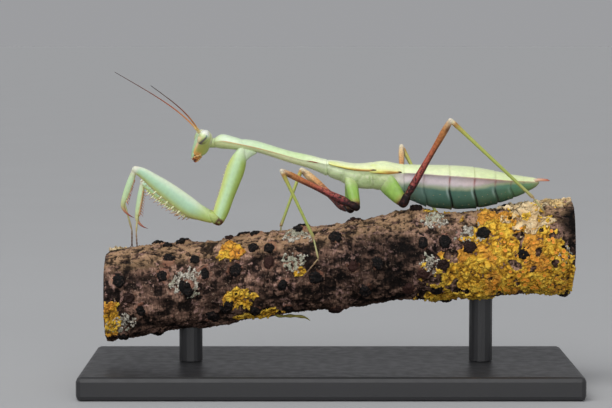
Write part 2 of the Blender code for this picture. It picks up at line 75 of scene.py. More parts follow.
SEAM_DARKNESS = (0.06, 0.3, 1.0, 1.0, 0.7, 0.4, 0.22)
TAIL = 35.9
ABDOMEN_DOTS = ((0.35, -0.62), (0.62, -0.56), (0.42, -1.02), (0.68, -0.98))  # (share of a ring, angle)
# Each pair's root and tip along the trunk, lower and upper edge round it, and outer swell.
WING_PADS = {"fore": (-0.35, 7.9, math.radians(-3), math.radians(60), 1.115),
             "hind": (6.6, 12.25, math.radians(-4), math.radians(56), 1.085)}
NECK = ((-23.0, 41.2, 0.8), (-21.6, 41.5, 0.72), (-20.6, 41.65, 0.78), (-19.6, 41.7, 0.85))

# The head's frame: the neck joint is its origin, -X is forward and +Z runs to the crown.
NECK_JOINT = Vector((-20.5, 0.0, 41.8)) * MM
HEAD_TURN = Euler((0.0, math.radians(20), math.radians(8)))
EYE_PLACE = Vector((-1.75, 2.7, 0.35))
EYE_SIZE = Vector((0.92, 0.95, 1.3))
EYE_TILT = math.radians(10)
ANTENNA_PLACE = Vector((-2.35, 0.5, 0.85))
ANTENNA_LENGTH = 18.0
ANTENNA_RISE = {"left": (46, 22), "right": (53, 30)}  # in degrees, at the root and at the tip
ANTENNA_SWING = {"left": -62, "right": 1}

# Each leg: lengths in millimetres of coxa, trochanter, femur, tibia, basitarsus and tarsus tip.
LEG_LENGTHS = {"fore": (12.5, 1.2, 15.4, 6.1, 5.0, 3.9),
               "mid": (4.9, 1.0, 14.4, 13.0, 3.6, 4.2),
               "hind": (4.4, 1.1, 16.3, 19.6, 3.0, 3.0)}
LEG_ROOTS = {"fore": (-15.1, 1.4, 40.4), "mid": (3.6, 1.5, 35.0), "hind": (10.0, 1.6, 35.0)}
# Directions in degrees: the turn from straight ahead (+ to the right side), and the rise.
LEG_POSE = {("left", "fore"): ((-20, -70), (-4, 31), (20, -69), (148, -70), (85, -50)),
            ("right", "fore"): ((17, -69), (30, 19.5), (-15, -80), (-92, -30), (-97, -25)),
            ("left", "mid"): ((-105, -55), (-26, 25), (151, -62), (-147, -74), (2, -52)),
            ("right", "mid"): ((84, -81), (53, 24), (-67, -46), (80, -68), (20, -54)),
            ("left", "hind"): ((-150, -50), (-140, 55), (166, -42), (170, -35), (-168, -34)),
            ("right", "hind"): ((152, -50), (92, 30), (-122, -46), (165, -30), (172, -32))}

# The perch: (x, height of its axis) and (x, radius), in millimetres.
PERCH_AXIS = ((-40.0, 15.2), (-22.0, 17.4), (-5.0, 19.7), (12.0, 21.8), (20.6, 22.3), (29.0, 22.8),
              (42.0, 24.3))
PERCH_RADIUS = ((-40.0, 7.85), (-22.0, 7.3), (-5.0, 7.15), (12.0, 7.35), (21.0, 7.3), (29.0, 7.45),
                (42.0, 7.95))

LIGHTS = (("soft_sun", "SUN", (-0.3, -0.4, 0.7), math.radians(60), 1.15),
          ("soft_front", "SUN", (0.06, -0.6, 0.14), math.radians(70), 1.35),
          ("soft_key", "AREA", (-0.15, -0.22, 0.5), 0.3, 0.5))  # name, kind, place, size, power
LIGHT_AIM = Vector((0.0, 0.0, 0.03))
SENSOR = 36.0
CAMERA_PLACE = Vector((-4.13, -390.05, 58.45))
CAMERA_TILT = math.radians(86.0)
VIEW_WIDTH, VIEW_REACH = 105.26, 391.0  # the view is so wide at that distance


# ---------------------------------------------------------------- shapes

def read(profile, x):
    """The value at x of the smooth curve through the profile's (x, value) points."""
    places, values = zip(*profile)
    last = len(places) - 1
    i = min(max(bisect_right(places, x) - 1, 0), last - 1)

    def slope(k):
        low, high = max(k - 1, 0), min(k + 1, last)
        return (values[high] - values[low]) / (places[high] - places[low])

    span = places[i + 1] - places[i]
    t = min(max((x - places[i]) / span, 0.0), 1.0)
    return ((2 * t**3 - 3 * t**2 + 1) * values[i] + (t**3 - 2 * t**2 + t) * span * slope(i)
            + (3 * t**2 - 2 * t**3) * values[i + 1] + (t**3 - t**2) * span * slope(i + 1))


def bell(distance, width):
    return math.exp(-((distance / width) ** 2))


def fade(value, low, high):
    """A smooth step from 0 at low to 1 at high."""
    t = min(max((value - low) / (high - low), 0.0), 1.0)
    return t * t * (3 - 2 * t)


def squarish(value, power):
    """Bends a sine or cosine so that the oval it draws is squarer (under 1) or more pointed."""
    return math.copysign(abs(value) ** power, value)


def direction(turn, rise):
    """The unit vector at a turn from straight ahead and a rise, both in degrees."""
    turn, rise = math.radians(turn), math.radians(rise)
    return Vector((-math.cos(rise) * math.cos(turn), math.cos(rise) * math.sin(turn), math.sin(rise)))


def across_from(along, towards):
    """The unit vector square to one direction that leans most towards another."""
    return (towards - along * towards.dot(along)).normalized()


def deselect():
    bpy.ops.object.select_all(action="DESELECT")


def named(name, piece=None):
    """Names a piece and its mesh; without a piece, the one just added."""
    piece = piece or bpy.context.object
    piece.name = piece.data.name = name
    return piece


def edit(piece):
    """Opens one piece in edit mode with all of it selected."""
    deselect()
    piece.select_set(True)
    bpy.context.view_layer.objects.active = piece
    bpy.ops.object.mode_set(mode="EDIT")
    bpy.ops.mesh.select_all(action="SELECT")


def face_out(piece, merge=None):
    """Turns the faces of a closed piece outwards, after merging points closer than a distance."""
    edit(piece)
    if merge:
        bpy.ops.mesh.remove_doubles(threshold=merge)
    bpy.ops.mesh.normals_make_consistent(inside=False)
    bpy.ops.object.mode_set(mode="OBJECT")
    piece.data.shade_smooth()


def refine(piece, kind, **settings):
    """Adds one modifier to the piece and applies it."""
    modifier = piece.modifiers.new(kind.lower(), kind)
    for setting, value in settings.items():
        setattr(modifier, setting, value)
    bpy.context.view_layer.objects.active = piece
    bpy.ops.object.modifier_apply(modifier=modifier.name)


def set_marks(piece, **marks):
    """Gives every point of the piece its numbers, one list for each mark."""
    for name, values in marks.items():
        layer = piece.data.attributes.get(name) or piece.data.attributes.new(name, "FLOAT", "POINT")
        layer.data.foreach_set("value", values)


def loft(name, rings, levels=1):
    """A closed skin, extruded from a circle. Each ring is (how far along, its points in order)."""
    deselect()
    sides = len(rings[0][1])
    bpy.ops.mesh.primitive_circle_add(vertices=sides, radius=MM, fill_type="NGON")
    piece = named(name)
    bpy.ops.object.mode_set(mode="EDIT")
    bpy.ops.mesh.select_all(action="SELECT")
    layers = bmesh.from_edit_mesh(piece.data).verts.layers
    layers.int.new("turn")
    for mark in MARKS:
        layers.float.new(mark)
    for number, (far, points) in enumerate(rings):
        if number:
            bpy.ops.mesh.extrude_region_move()
        build = bmesh.from_edit_mesh(piece.data)
        turn = build.verts.layers.int["turn"]
        along, up, side = (build.verts.layers.float[mark] for mark in MARKS)
        if not number:
            for k, vertex in enumerate(build.verts):
                vertex[turn] = k
        for vertex in build.verts:
            if vertex.select:
                k = vertex[turn]
                vertex.co = points[k]
                vertex[along] = far
                vertex[up] = math.sin(math.tau * k / sides)
                vertex[side] = math.cos(math.tau * k / sides)
    bpy.ops.mesh.select_all(action="SELECT")
    bpy.ops.mesh.normals_make_consistent(inside=False)
    bpy.ops.object.mode_set(mode="OBJECT")
    piece.data.attributes.remove(piece.data.attributes["turn"])
    if levels:
        refine(piece, "SUBSURF", levels=levels, render_levels=levels)
    piece.data.shade_smooth()
    return piece


def ring_at(centre, up, side, high, wide, sides):
    """An oval of points; it starts at the side and turns towards up. Its half sizes are in millimetres."""
    angles = [math.tau * k / sides for k in range(sides)]
    return [centre + (side * wide * math.cos(a) + up * high * math.sin(a)) * MM for a in angles]


def limb(name, start, end, up, sizes, sides=16, caps=(0.8, 0.8), steps=14, bow=STRAIGHT):
    """A tapering limb with round ends. Sizes are (share, half height, half width) in millimetres, and
    the bow is how far the limb's middle lies towards up, as (share, millimetres)."""
    way = (end - start).normalized()
    up = across_from(way, up)
    side = way.cross(up)
    high, wide = depths(sizes), [(share, broad) for share, _, broad in sizes]
    reach = (-caps[0] * high[0][1] * MM, caps[1] * high[-1][1] * MM)
    spots = [(0, t) for t in ROUND_END] + [(k / steps, 1.0) for k in range(steps + 1)]
    spots += [(1, t) for t in reversed(ROUND_END)]
    rings = []
    for share, t in spots:
        scale = math.sqrt(1 - (1 - t) ** 2)
        centre = start.lerp(end, share) + way * (1 - t) * reach[share > 0] + up * read(bow, share) * MM
        half_sizes = read(high, share) * scale, read(wide, share) * scale
        rings.append((share, ring_at(centre, up, side, *half_sizes, sides)))
    return loft(name, rings)


def depths(sizes):
    return [(share, tall) for share, tall, _ in sizes]


def smooth_path(points, count):
    """Points evenly along the smooth curve through the given ones."""
    reach = [0.0]
    for one, two in zip(points, points[1:]):
        reach.append(reach[-1] + (two - one).length)
    axes = [[(far, point[axis]) for far, point in zip(reach, points)] for axis in range(3)]
    stops = [reach[-1] * k / (count - 1) for k in range(count)]
    return [Vector([read(axis, stop) for axis in axes]) for stop in stops]


def sweep(name, path, radii, sides=10, levels=1):
    """A tube along a path; its radii in millimetres, one or (high, wide), are spread over the path."""
    rings = []
    last = len(path) - 1
    up = Vector((0.0, 0.0, 1.0))
    pairs = [size if isinstance(size, tuple) else (size, size) for size in radii]
    high, wide = ([(k / (len(pairs) - 1), pair[axis]) for k, pair in enumerate(pairs)] for axis in (0, 1))
    for k, point in enumerate(path):
        way = (path[min(k + 1, last)] - path[max(k - 1, 0)]).normalized()
        up = across_from(way, up)
        tall, broad = (max(read(size, k / last), 0.001) for size in (high, wide))
        rings.append((k / last, ring_at(point, up, way.cross(up), tall, broad, sides)))
    return loft(name, rings, levels)


def grid(rows, columns):
    deselect()
    bpy.ops.mesh.primitive_grid_add(x_subdivisions=rows, y_subdivisions=columns, size=1.0)
    return bpy.context.object


def ball(segments, rings, radius):
    deselect()
    bpy.ops.mesh.primitive_uv_sphere_add(segments=segments, ring_count=rings, radius=radius)
    return bpy.context.object


def join(name, parts):
    deselect()
    for part in parts:
        part.select_set(True)
    bpy.context.view_layer.objects.active = parts[0]
    bpy.ops.object.join()
    return named(name, parts[0])


def copies(name, masters, places):
    """One piece of many small copies. A place is (matrix, number): the number is each copy's own mark."""
    made = []
    for count, (matrix, number) in enumerate(places):
        item = masters[count % len(masters)].copy()
        item.data = item.data.copy()
        item.data.transform(matrix)
        bpy.context.scene.collection.objects.link(item)
        set_marks(item, own=[number] * len(item.data.vertices))
        made.append(item)
    piece = join(name, made)
    piece.data.shade_smooth()
    return piece


def remove(*masters):
    for master in masters:
        bpy.data.objects.remove(master)


def finish_piece(piece, finish, slot, *replaced):
    """Gives a piece its material and its place in the model."""
    wear(piece, finish)
    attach(piece, "root")
    if replaced:
        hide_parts(*replaced)


def wear(piece, finish):
    piece.data.materials.clear()
    piece.data.materials.append(finish.material)


# ---------------------------------------------------------------- materials

def tone(red, green, blue):
    """A colour from its red, green and blue out of 255, as the shader's light values."""
    parts = [value / 255 for value in (red, green, blue)]
    light = [part / 12.92 if part <= 0.04045 else ((part + 0.055) / 1.055) ** 2.4 for part in parts]
    return (*light, 1.0)


class Value:
    """A number that varies over a surface. It can be added to, taken from and multiplied."""

    def __init__(self, finish, socket):
        self.finish, self.socket = finish, socket

    def math(self, operation, other=None):
        return Value(self.finish, self.finish.add("Math", self, other, operation=operation).outputs[0])

    def __add__(self, other):
        return self.math("ADD", other)

    def __sub__(self, other):
        return self.math("SUBTRACT", other)

    def __mul__(self, other):
        return self.math("MULTIPLY", other)

    def level(self, low, high, least=0.0, most=1.0, ends="SMOOTHSTEP"):
        """Turns a value between low and high into one between least and most, with soft ends."""
        node = self.finish.add("MapRange", self, low, high, least, most, interpolation_type=ends)
        return Value(self.finish, node.outputs[0])

    def band(self, middle, width):
        """1 at the middle, fading to 0 a width away on each side."""
        return (self - middle).math("ABSOLUTE").level(0.0, width, 1.0, 0.0)


class Finish:
    """One material, built node by node and painted layer over layer."""

    def __init__(self, name, roughness, specular=None):
        self.material = bpy.data.materials.new(name)
        self.material.use_nodes = True
        self.tree = self.material.node_tree
        self.shader = self.tree.nodes["Principled BSDF"]
        self.set("Roughness", roughness)
        if specular is not None:
            self.set("Specular IOR Level", specular)

    def set(self, socket, value):
        self.feed(self.shader.inputs[socket], value)

    def add(self, kind, *inputs, **settings):
        """A node. An input is a value or socket to join, a number or colour to set, or None."""
        node = self.tree.nodes.new("ShaderNode" + kind)
        for setting, value in settings.items():
            setattr(node, setting, value)
        for slot, value in zip(node.inputs, inputs):
            self.feed(slot, value)
        return node

    def feed(self, slot, value):
        value = value.socket if isinstance(value, Value) else value
        if isinstance(value, bpy.types.NodeSocket):
            self.tree.links.new(value, slot)
        elif value is not None:
            slot.default_value = value

    def mark(self, name):
        return Value(self, self.add("Attribute", attribute_name=name).outputs["Fac"])

    def place(self, *stretch):
        """Where a point lies, stretched along the three axes."""
        where = self.add("TexCoord").outputs["Object"]
        return self.add("Mapping", where, None, None, stretch).outputs[0] if stretch else where

    def pattern(self, kind, size, where=None, **settings):
        """A texture whose spots are about the given size in millimetres."""
        node = self.add(kind, where or self.place(), **settings)
        node.inputs["Scale"].default_value = 1 / (size * MM)
        return node

    def grain(self, size, detail=2.0, where=None):
        node = self.pattern("TexNoise", size, where)
        node.inputs["Detail"].default_value = detail
        return Value(self, node.outputs["Fac"])

    def cells(self, size, where=None, feature="F1"):
        return Value(self, self.pattern("TexVoronoi", size, where, feature=feature).outputs["Distance"])

    def swirled(self, size, far):
        """Where a point lies, shifted by up to about a distance in swirls of about a size."""
        swirl = self.pattern("TexNoise", size).outputs["Color"]
        middle = self.add("VectorMath", swirl, (0.5, 0.5, 0.5), operation="SUBTRACT").outputs[0]
        shift = self.add("VectorMath", middle, operation="SCALE")
        shift.inputs["Scale"].default_value = 2 * far * MM
        return self.add("VectorMath", self.place(), shift.outputs[0], operation="ADD").outputs[0]

    def ramp(self, value, *stops):
        """A colour for a value from 0 to 1; each stop is (value, red, green, blue)."""
        node = self.add("ValToRGB", value)
        points = node.color_ramp.elements
        points[0].position, points[1].position = stops[0][0], stops[-1][0]
        points[0].color, points[1].color = tone(*stops[0][1:]), tone(*stops[-1][1:])
        for position, *colour in stops[1:-1]:
            points.new(position).color = tone(*colour)
        return node.outputs["Color"]

    def run(self, value, *stops):
        """A colour that follows a value in its own units."""
        low, high = stops[0][0], stops[-1][0]
        share = value.level(low, high, ends="LINEAR")
        return self.ramp(share, *(((at - low) / (high - low), *colour) for at, *colour in stops))

    def mix(self, share, under, over, blend="MIX"):
        node = self.add("Mix", data_type="RGBA", blend_type=blend)
        sockets = node.inputs["Factor"], node.inputs[6], node.inputs[7]
        for slot, value in zip(sockets, (share, under, over)):
            self.feed(slot, value)
        return node.outputs[2]

    def shaded(self, colour, shade):
        """A colour made darker or lighter by a value or a colour."""
        if isinstance(shade, Value):
            shade = self.add("CombineColor", shade, shade, shade).outputs[0]
        return self.mix(1.0, colour, shade, "MULTIPLY")

    def mottled(self, colour, size, dark, light, detail=3.0):
        """A colour made a little darker and lighter in soft spots."""
        return self.shaded(colour, self.grain(size, detail).level(0.3, 0.7, dark, light, "LINEAR"))

    def over(self, share, colour):
        """Paints a varying colour over the layers so far, as strongly as the share says."""
        self.colour = self.mix(share, self.colour, colour)

    def lay(self, share, *colour):
        """Paints one colour, given out of 255, over the layers so far."""
        self.over(share, tone(*colour))

    def paint(self, *mottle):
        """Ends the layers, mottled if need be, and puts them on the surface."""
        self.set("Base Color", self.mottled(self.colour, *mottle) if mottle else self.colour)
        return self

    def relief(self, height, depth):
        """Raises the surface by the height, up to the given depth in millimetres."""
        node = self.add("Bump")
        for socket, value in (("Strength", 1.0), ("Distance", depth * MM), ("Height", height)):
            self.feed(node.inputs[socket], value)
        self.set("Normal", node.outputs["Normal"])
        return self


# ---------------------------------------------------------------- trunk

def trunk_section(x):
    return read(TRUNK_TOP, x), read(TRUNK_EDGE, x), read(TRUNK_BELLY, x), read(TRUNK_WIDTH, x)


def trunk_relief(x, angle):
    """How far in millimetres the skin stands out from the plain outline."""
    rise, out = math.sin(angle), abs(math.cos(angle))
    if x < THORAX_CUTS[0]:
        long_plate = fade(x, COLLAR, COLLAR + 1.5)
        ridge = 0.13 * bell(rise - 0.03, 0.13) * long_plate
        keel = 0.06 * bell(out, 0.12) * fade(rise, 0.0, 0.5) * fade(x, -14.6, -13.0)
        groove = -0.16 * bell(x + 15.2 - 0.5 * out, 0.3) * fade(rise, 0.1, 0.5)
        return ridge + keel + groove
    if x < ABDOMEN_CUTS[0]:
        back = fade(rise, 0.2, 0.8)
        middle = -0.07 * bell(out, 0.1) * back
        hump = 0.16 * (bell(x - 1.4, 1.5) + bell(x - 9.2, 1.3)) * bell(out, 0.42) * back
        flank = fade(-rise, 0.0, 0.25)
        folds = sum(bell(x - start - 1.6 * rise, 0.2) for start in (0.9, 3.2, 5.9, 8.6, 11.2))
        swells = sum(bell(x - start - 1.6 * rise, 0.8) for start in (2.0, 4.6, 9.9))
        swells *= bell(rise + 0.5, 0.35)
        under_pads = -0.12 * bell(rise + 0.16, 0.07)
        return middle + hump + (0.2 * swells - 0.17 * folds) * flank + under_pads
    shrink = fade(x, TAIL, TAIL - 4.0)
    hollow = -0.3 * bell(rise + 0.08, 0.13) * fade(x, 32.5, 27.0)
    lips = 0.12 * bell(rise - 0.17, 0.05) + 0.08 * bell(rise + 0.37, 0.06)
    keel = 0.05 * bell(out, 0.09) * fade(rise, 0.0, 0.5)
    return (hollow + lips + keel) * shrink


def trunk_point(x, angle, swell=1.0):
    top, edge, belly, width = trunk_section(x)
    reach = top - edge if math.sin(angle) > 0 else edge - belly
    out, rise = math.cos(angle), math.sin(angle)
    across = width * squarish(out, 0.85)
    relief = trunk_relief(x, angle)
    lean = 0.5 * fade(-rise, 0.35, 0.95) - 0.16 * bell(rise + 0.3, 0.25)
    lean *= fade(x, ABDOMEN_CUTS[0] - 0.3, ABDOMEN_CUTS[0] + 1.5) * fade(x, TAIL, TAIL - 5.0)
    height = edge + reach * rise * swell + rise * relief
    return Vector((x + lean, across * swell + out * relief, height)) * MM


def trunk_ring(x, swell):
    return x, [trunk_point(x, math.tau * k / TRUNK_SIDES, swell) for k in range(TRUNK_SIDES)]


def lapped(cut, lip):
    """Rings where one plate's hind edge laps over the next: out, round, under and back out."""
    return [(cut - 0.35, 1.0 + lip * 0.3), (cut - 0.05, 1.0 + lip), (cut + 0.03, 1.0 + lip * 0.6),
            (cut + 0.02, 1.0 - lip * 0.8), (cut - 0.02, 1.0 - lip * 1.8), (cut + 0.12, 1.0 - lip * 1.4),
            (cut + 0.45, 1.0 - lip * 0.4)]


def plate_rings(start, end, step=0.32):
    """Plain rings between two laps, as (x, swell)."""
    start, end = start + LAP_REACH[1], end - LAP_REACH[0]
    count = max(int((end - start) / step), 1)
    return [(start + (end - start) * k / count, 1.0) for k in range(1, count)]


def make_trunk():
    """Neck, thorax and abdomen in one skin."""
    neck = [(x, height) for x, height, radius in NECK]
    thick = [(x, radius) for x, height, radius in NECK]
    rings = []
    for k in range(11):
        x = NECK[0][0] + (NECK[-1][0] - NECK[0][0]) * k / 10
        radius = read(thick, x) + 0.05 * math.sin(x * 9.0)
        centre = Vector((x, 0.0, read(neck, x))) * MM
        rings.append((x, ring_at(centre, UP, ACROSS, radius, radius, TRUNK_SIDES)))
    spots = [(COLLAR + back, swell) for back, swell in COLLAR_CURL]
    spots += plate_rings(COLLAR + 1.2 - LAP_REACH[1], THORAX_CUTS[0])
    for cut, after, lip in zip(THORAX_CUTS, (THORAX_CUTS[1], ABDOMEN_CUTS[0]), (0.05, 0.02)):
        spots += lapped(cut, lip) + plate_rings(cut, after)
    for cut, after in zip(ABDOMEN_CUTS, (*ABDOMEN_CUTS[1:], TAIL)):
        spots += lapped(cut, 0.026) + plate_rings(cut, after, 0.36)
    spots += [(TAIL - 0.35, 0.85), (TAIL - 0.15, 0.66), (TAIL, 0.4), (TAIL + 0.05, 0.12)]
    trunk = loft("body_skin", rings + [trunk_ring(x, swell) for x, swell in spots])
    # The seam mark is each plate's dark joint; the other mark is a painted highlight along each plate's
    # rim, just ahead of its seam.
    for name, behind, width in (("seam", 0.08, 0.17), ("painted_rim_highlight", -0.3, 0.2)):
        set_marks(trunk, **{name: [max(dark * bell(point.value - cut - behind, width)
                                       for cut, dark in zip(ABDOMEN_CUTS, SEAM_DARKNESS))
                                   for point in trunk.data.attributes["along"].data]})
    return trunk


def make_spots():
    """The small pale breathing holes and dots low on the abdomen's sides."""
    bead = ball(10, 6, 0.1 * MM)
    places = []
    for flip in (False, True):
        for front, back in zip(ABDOMEN_CUTS, ABDOMEN_CUTS[1:-1]):
            for share, angle in ABDOMEN_DOTS:
                angle = math.pi - angle if flip else angle
                spot = trunk_point(front + (back - front) * share, angle, 1.002)
                places.append((Matrix.Translation(spot) @ Matrix.Diagonal((1.3, 0.35, 0.45, 1.0)), share))
    spots = copies("abdomen_dots", [bead], places)
    remove(bead)
    return spots


def make_wing_pad(side, pair):
    """A flat lobe that lies along the upper flank, with ribs that fan out along it."""
    root, tip, low, high, outer = WING_PADS[pair]
    middle = low + (high - low) * 0.26
    steps, half = 26, 16
    rings = []
    for k in range(steps + 1):
        share = math.sin(math.pi / 2 * k / steps)
        x = root + (tip - root) * share
        narrow = math.sqrt(max(1 - share**3.5, 0.0)) * fade(share, -0.25, 0.12)
        start, end = middle + (low - middle) * narrow, middle + (high - middle) * narrow
        points = []
        for j in range(2 * half):
            upper = j < half
            t = (j if upper else 2 * half - 1 - j) / (half - 1)
            angle = start + (end - start) * t
            rib = 0.012 * math.cos(t * math.pi * 9) * fade(t, 0.0, 0.2) * fade(share, 1.0, 0.7)
            round_off = math.sqrt(max(1 - (2 * t - 1) ** 6, 0.0))
            swell = 1.02 + (outer - 1.02) * round_off + rib if upper else 0.97
            points.append(trunk_point(x, math.pi - angle if side == "left" else angle, swell))
        rings.append((share, points))
    pad = loft(f"{side}_{pair}_wing_pad", rings)
    ups = []
    for vertex in pad.data.vertices:
        x, y, z = vertex.co / MM
        top, edge, _, width = trunk_section(x)
        ups.append((math.atan2(z - edge, abs(y) * (top - edge) / width) - low) / (high - low))
    set_marks(pad, up=ups)
    return pad


def make_tail_feeler(side):
    """One of the pair of short feelers at the tail, with its rings of joints."""
    root = Vector((34.7, 0.75 * SIDES[side], 35.25)) * MM
    steps = 26
    path = [root + Vector((share, 0.12 * SIDES[side] * share, 0.03 * math.sin(share * 3))) * 2.95 * MM
            for share in (k / steps for k in range(steps + 1))]
    radii = [(0.26 - 0.15 * (k / steps) ** 2) * (1.0 if k % 3 else 0.84) for k in range(steps)]
    return sweep(f"{side}_tail_feeler", path, [*radii, 0.03], sides=12)


# ---------------------------------------------------------------- head

HEAD_WIDE = ((-3.05, 0.9), (-2.5, 1.2), (-2.0, 1.52), (-1.3, 2.0), (-0.4, 2.45), (0.5, 2.5), (1.15, 2.05),
             (1.5, 1.35), (1.72, 0.5))
HEAD_FRONT = ((-3.05, 2.35), (-2.5, 2.48), (-1.3, 2.6), (-0.4, 2.6), (0.5, 2.5), (1.15, 2.25), (1.5, 1.95),
              (1.72, 1.5))
HEAD_BACK = ((-3.05, 1.1), (-2.5, 0.4), (-2.0, 0.05), (-1.3, -0.1), (-0.4, -0.12), (0.5, -0.1),
             (1.15, 0.15), (1.5, 0.55), (1.72, 1.0))
HEAD_SIDES = 64
HEAD_RINGS = 44
CHIN, CROWN = -3.05, 1.72
# The mouth's flaps, as (height, how far ahead, half depth, half width, how far aside), and the palps'
# routes and thickness.
UPPER_LIP = ((-2.55, 2.1, 0.3, 0.8, 0), (-2.8, 2.15, 0.34, 0.92, 0), (-3.1, 2.12, 0.33, 0.9, 0),
             (-3.5, 2.02, 0.3, 0.78, 0), (-3.8, 1.92, 0.25, 0.55, 0), (-3.95, 1.88, 0.15, 0.3, 0),
             (-4.0, 1.86, 0.06, 0.1, 0))
JAW = ((-2.3, 1.35, 0.42, 0.34, 0.72), (-2.8, 1.4, 0.46, 0.4, 0.74), (-3.3, 1.45, 0.4, 0.42, 0.6),
       (-3.8, 1.5, 0.28, 0.34, 0.4), (-4.05, 1.52, 0.16, 0.2, 0.25), (-4.15, 1.52, 0.05, 0.07, 0.2))
LOWER_LIP = ((-2.3, 0.75, 0.3, 0.55, 0), (-2.9, 0.85, 0.3, 0.6, 0), (-3.5, 1.0, 0.26, 0.5, 0),
             (-3.85, 1.1, 0.18, 0.3, 0), (-3.95, 1.12, 0.06, 0.1, 0))
PALPS = ((((-1.0, 0.95, -2.35), (-1.15, 1.22, -2.75), (-1.6, 1.25, -3.05), (-1.95, 1.15, -3.45),
           (-2.02, 0.98, -3.85)), 0.15),
         (((-0.85, 0.4, -3.0), (-0.95, 0.62, -3.45), (-1.2, 0.62, -3.85), (-1.5, 0.5, -4.1)), 0.125))


def head_matrix():
    return Matrix.Translation(NECK_JOINT) @ HEAD_TURN.to_matrix().to_4x4()


def head_point(x, y, z):
    """A point given in the head's frame, in millimetres."""
    return head_matrix() @ (Vector((x, y, z)) * MM)


def head_surface(rise, angle):
    """A point on the head's shell; the angle is 0 at the right side and a quarter turn at the face."""
    wide, front, back = read(HEAD_WIDE, rise), read(HEAD_FRONT, rise), read(HEAD_BACK, rise)
    middle, reach = (front + back) / 2, (front - back) / 2
    out, ahead = math.cos(angle), math.sin(angle)
    flat = 0.72 if ahead > 0 else 1.0
    x = -middle - reach * squarish(ahead, flat)
    y = wide * squarish(out, 0.9)
    face = fade(ahead, 0.0, 0.35)
    width = abs(y)
    shield = 0.09 * fade(width, 0.95, 0.75) * fade(rise, -1.15, -1.0) * fade(rise, -0.05, -0.2)
    lower = 0.07 * fade(width, 0.8, 0.62) * fade(rise, -2.9, -2.7) * fade(rise, -1.15, -1.3)
    ridge = 0.1 * bell(width - 1.25 - 0.28 * (rise + 1.2), 0.16) * fade(rise, -2.6, -1.9)
    ridge *= fade(rise, 0.2, -0.5)
    brow = -0.10 * bell(width - 0.95, 0.13) * fade(rise, 0.75, 1.25)
    sockets = 0.09 * bell(math.hypot(width - 0.5, rise - 0.85), 0.3)
    crease = -0.07 * bell(width, 0.07) * fade(rise, 0.9, 1.3)
    x -= face * (shield + lower + ridge + brow + sockets + crease)
    lobe = 0.10 * bell(rise - 1.2, 0.5) * bell(ahead + 0.1, 0.5)
    return x, y * (1 + lobe), rise


def make_head():
    rings = []
    for k in range(HEAD_RINGS + 1):
        rise = CHIN + (CROWN - CHIN) * k / HEAD_RINGS
        points = [head_point(*head_surface(rise, math.tau * j / HEAD_SIDES)) for j in range(HEAD_SIDES)]
        rings.append((rise, points))
    cap = [head_point(-1.25, 0.0, CROWN + 0.04).lerp(point, 0.35) for point in rings[-1][1]]
    return loft("head_shell", [*rings, (CROWN + 0.04, cap)])


def make_eye(side):
    """A large faceted eye, which leans out and back."""
    eye = named(f"{side}_eye_ball", ball(48, 32, MM))
    points = [vertex.co / MM for vertex in eye.data.vertices]
    set_marks(eye, along=[point.z for point in points], up=[point.x for point in points],
              side=[point.y * SIDES[side] for point in points])
    eye.data.transform(head_matrix() @ Matrix.Translation(eye_place(side) * MM) @ eye_turn(side).to_4x4()
                       @ Matrix.Diagonal((*EYE_SIZE, 1.0)))
    eye.data.shade_smooth()
    return eye


def eye_place(side):
    return Vector((EYE_PLACE.x, EYE_PLACE.y * SIDES[side], EYE_PLACE.z))


def eye_turn(side):
    return Euler((EYE_TILT * SIDES[side], EYE_TILT, 0.0)).to_matrix()


def make_eye_rim(side):
    """The pale rim of shell that the eye sits in."""
    steps, sides = 48, 10
    path = []
    for k in range(steps):
        a = math.tau * k / steps
        x, z = EYE_SIZE.x * 0.93 * math.cos(a), EYE_SIZE.z * 0.95 * math.sin(a)
        spot = Vector((x, -0.33 * SIDES[side], z))
        path.append(head_point(*(eye_turn(side) @ spot + eye_place(side))))
    middle = sum(path, Vector()) / steps
    axis = (path[0] - middle).cross(path[steps // 4] - middle).normalized()
    deselect()
    bpy.ops.mesh.primitive_torus_add(major_segments=steps, minor_segments=sides)
    rim = named(f"{side}_eye_rim")
    for number, vertex in enumerate(rim.data.vertices):
        turn, small = divmod(number, sides)
        b = math.tau * small / sides
        spoke = (path[turn] - middle).normalized()
        vertex.co = path[turn] + (spoke * math.cos(b) * 0.07 + axis * math.sin(b) * 0.11) * MM
    face_out(rim)
    return rim


def make_antenna(side):
    """A thick first joint, then a thread of many short joints that thins to its tip."""
    point = head_point(ANTENNA_PLACE.x, ANTENNA_PLACE.y * SIDES[side], ANTENNA_PLACE.z)
    steep, level = ANTENNA_RISE[side]
    steps, joints = 44, 150
    path = [point]
    for k in range(steps):
        rise = level + (steep - level) * (1 - (k + 0.5) / steps) ** 3
        point = point + direction(ANTENNA_SWING[side], rise) * (ANTENNA_LENGTH / steps) * MM
        path.append(point)
    radii = []
    for k in range(joints - 1):
        share = k / (joints - 1)
        thread = 0.17 - 0.115 * share ** 0.7
        root = 0.16 * bell(share - 0.012, 0.016) + 0.09 * bell(share - 0.05, 0.012)
        radii.append((thread + root) * (1.0 if k % 2 else 0.9))
    return sweep(f"{side}_feeler", smooth_path(path, joints), [*radii, 0.02], levels=0)


def mouth_lobe(name, stack, across=0):
    """A rounded flap. Each ring is (height, how far ahead, half depth, half width, how far aside)."""
    ahead, aside = (head_matrix().to_3x3() @ way for way in (Vector((-1.0, 0.0, 0.0)), ACROSS))
    return loft(name, [(rise, ring_at(head_point(-front, off * across, rise), ahead, aside, deep, wide, 24))
                       for rise, front, deep, wide, off in stack])


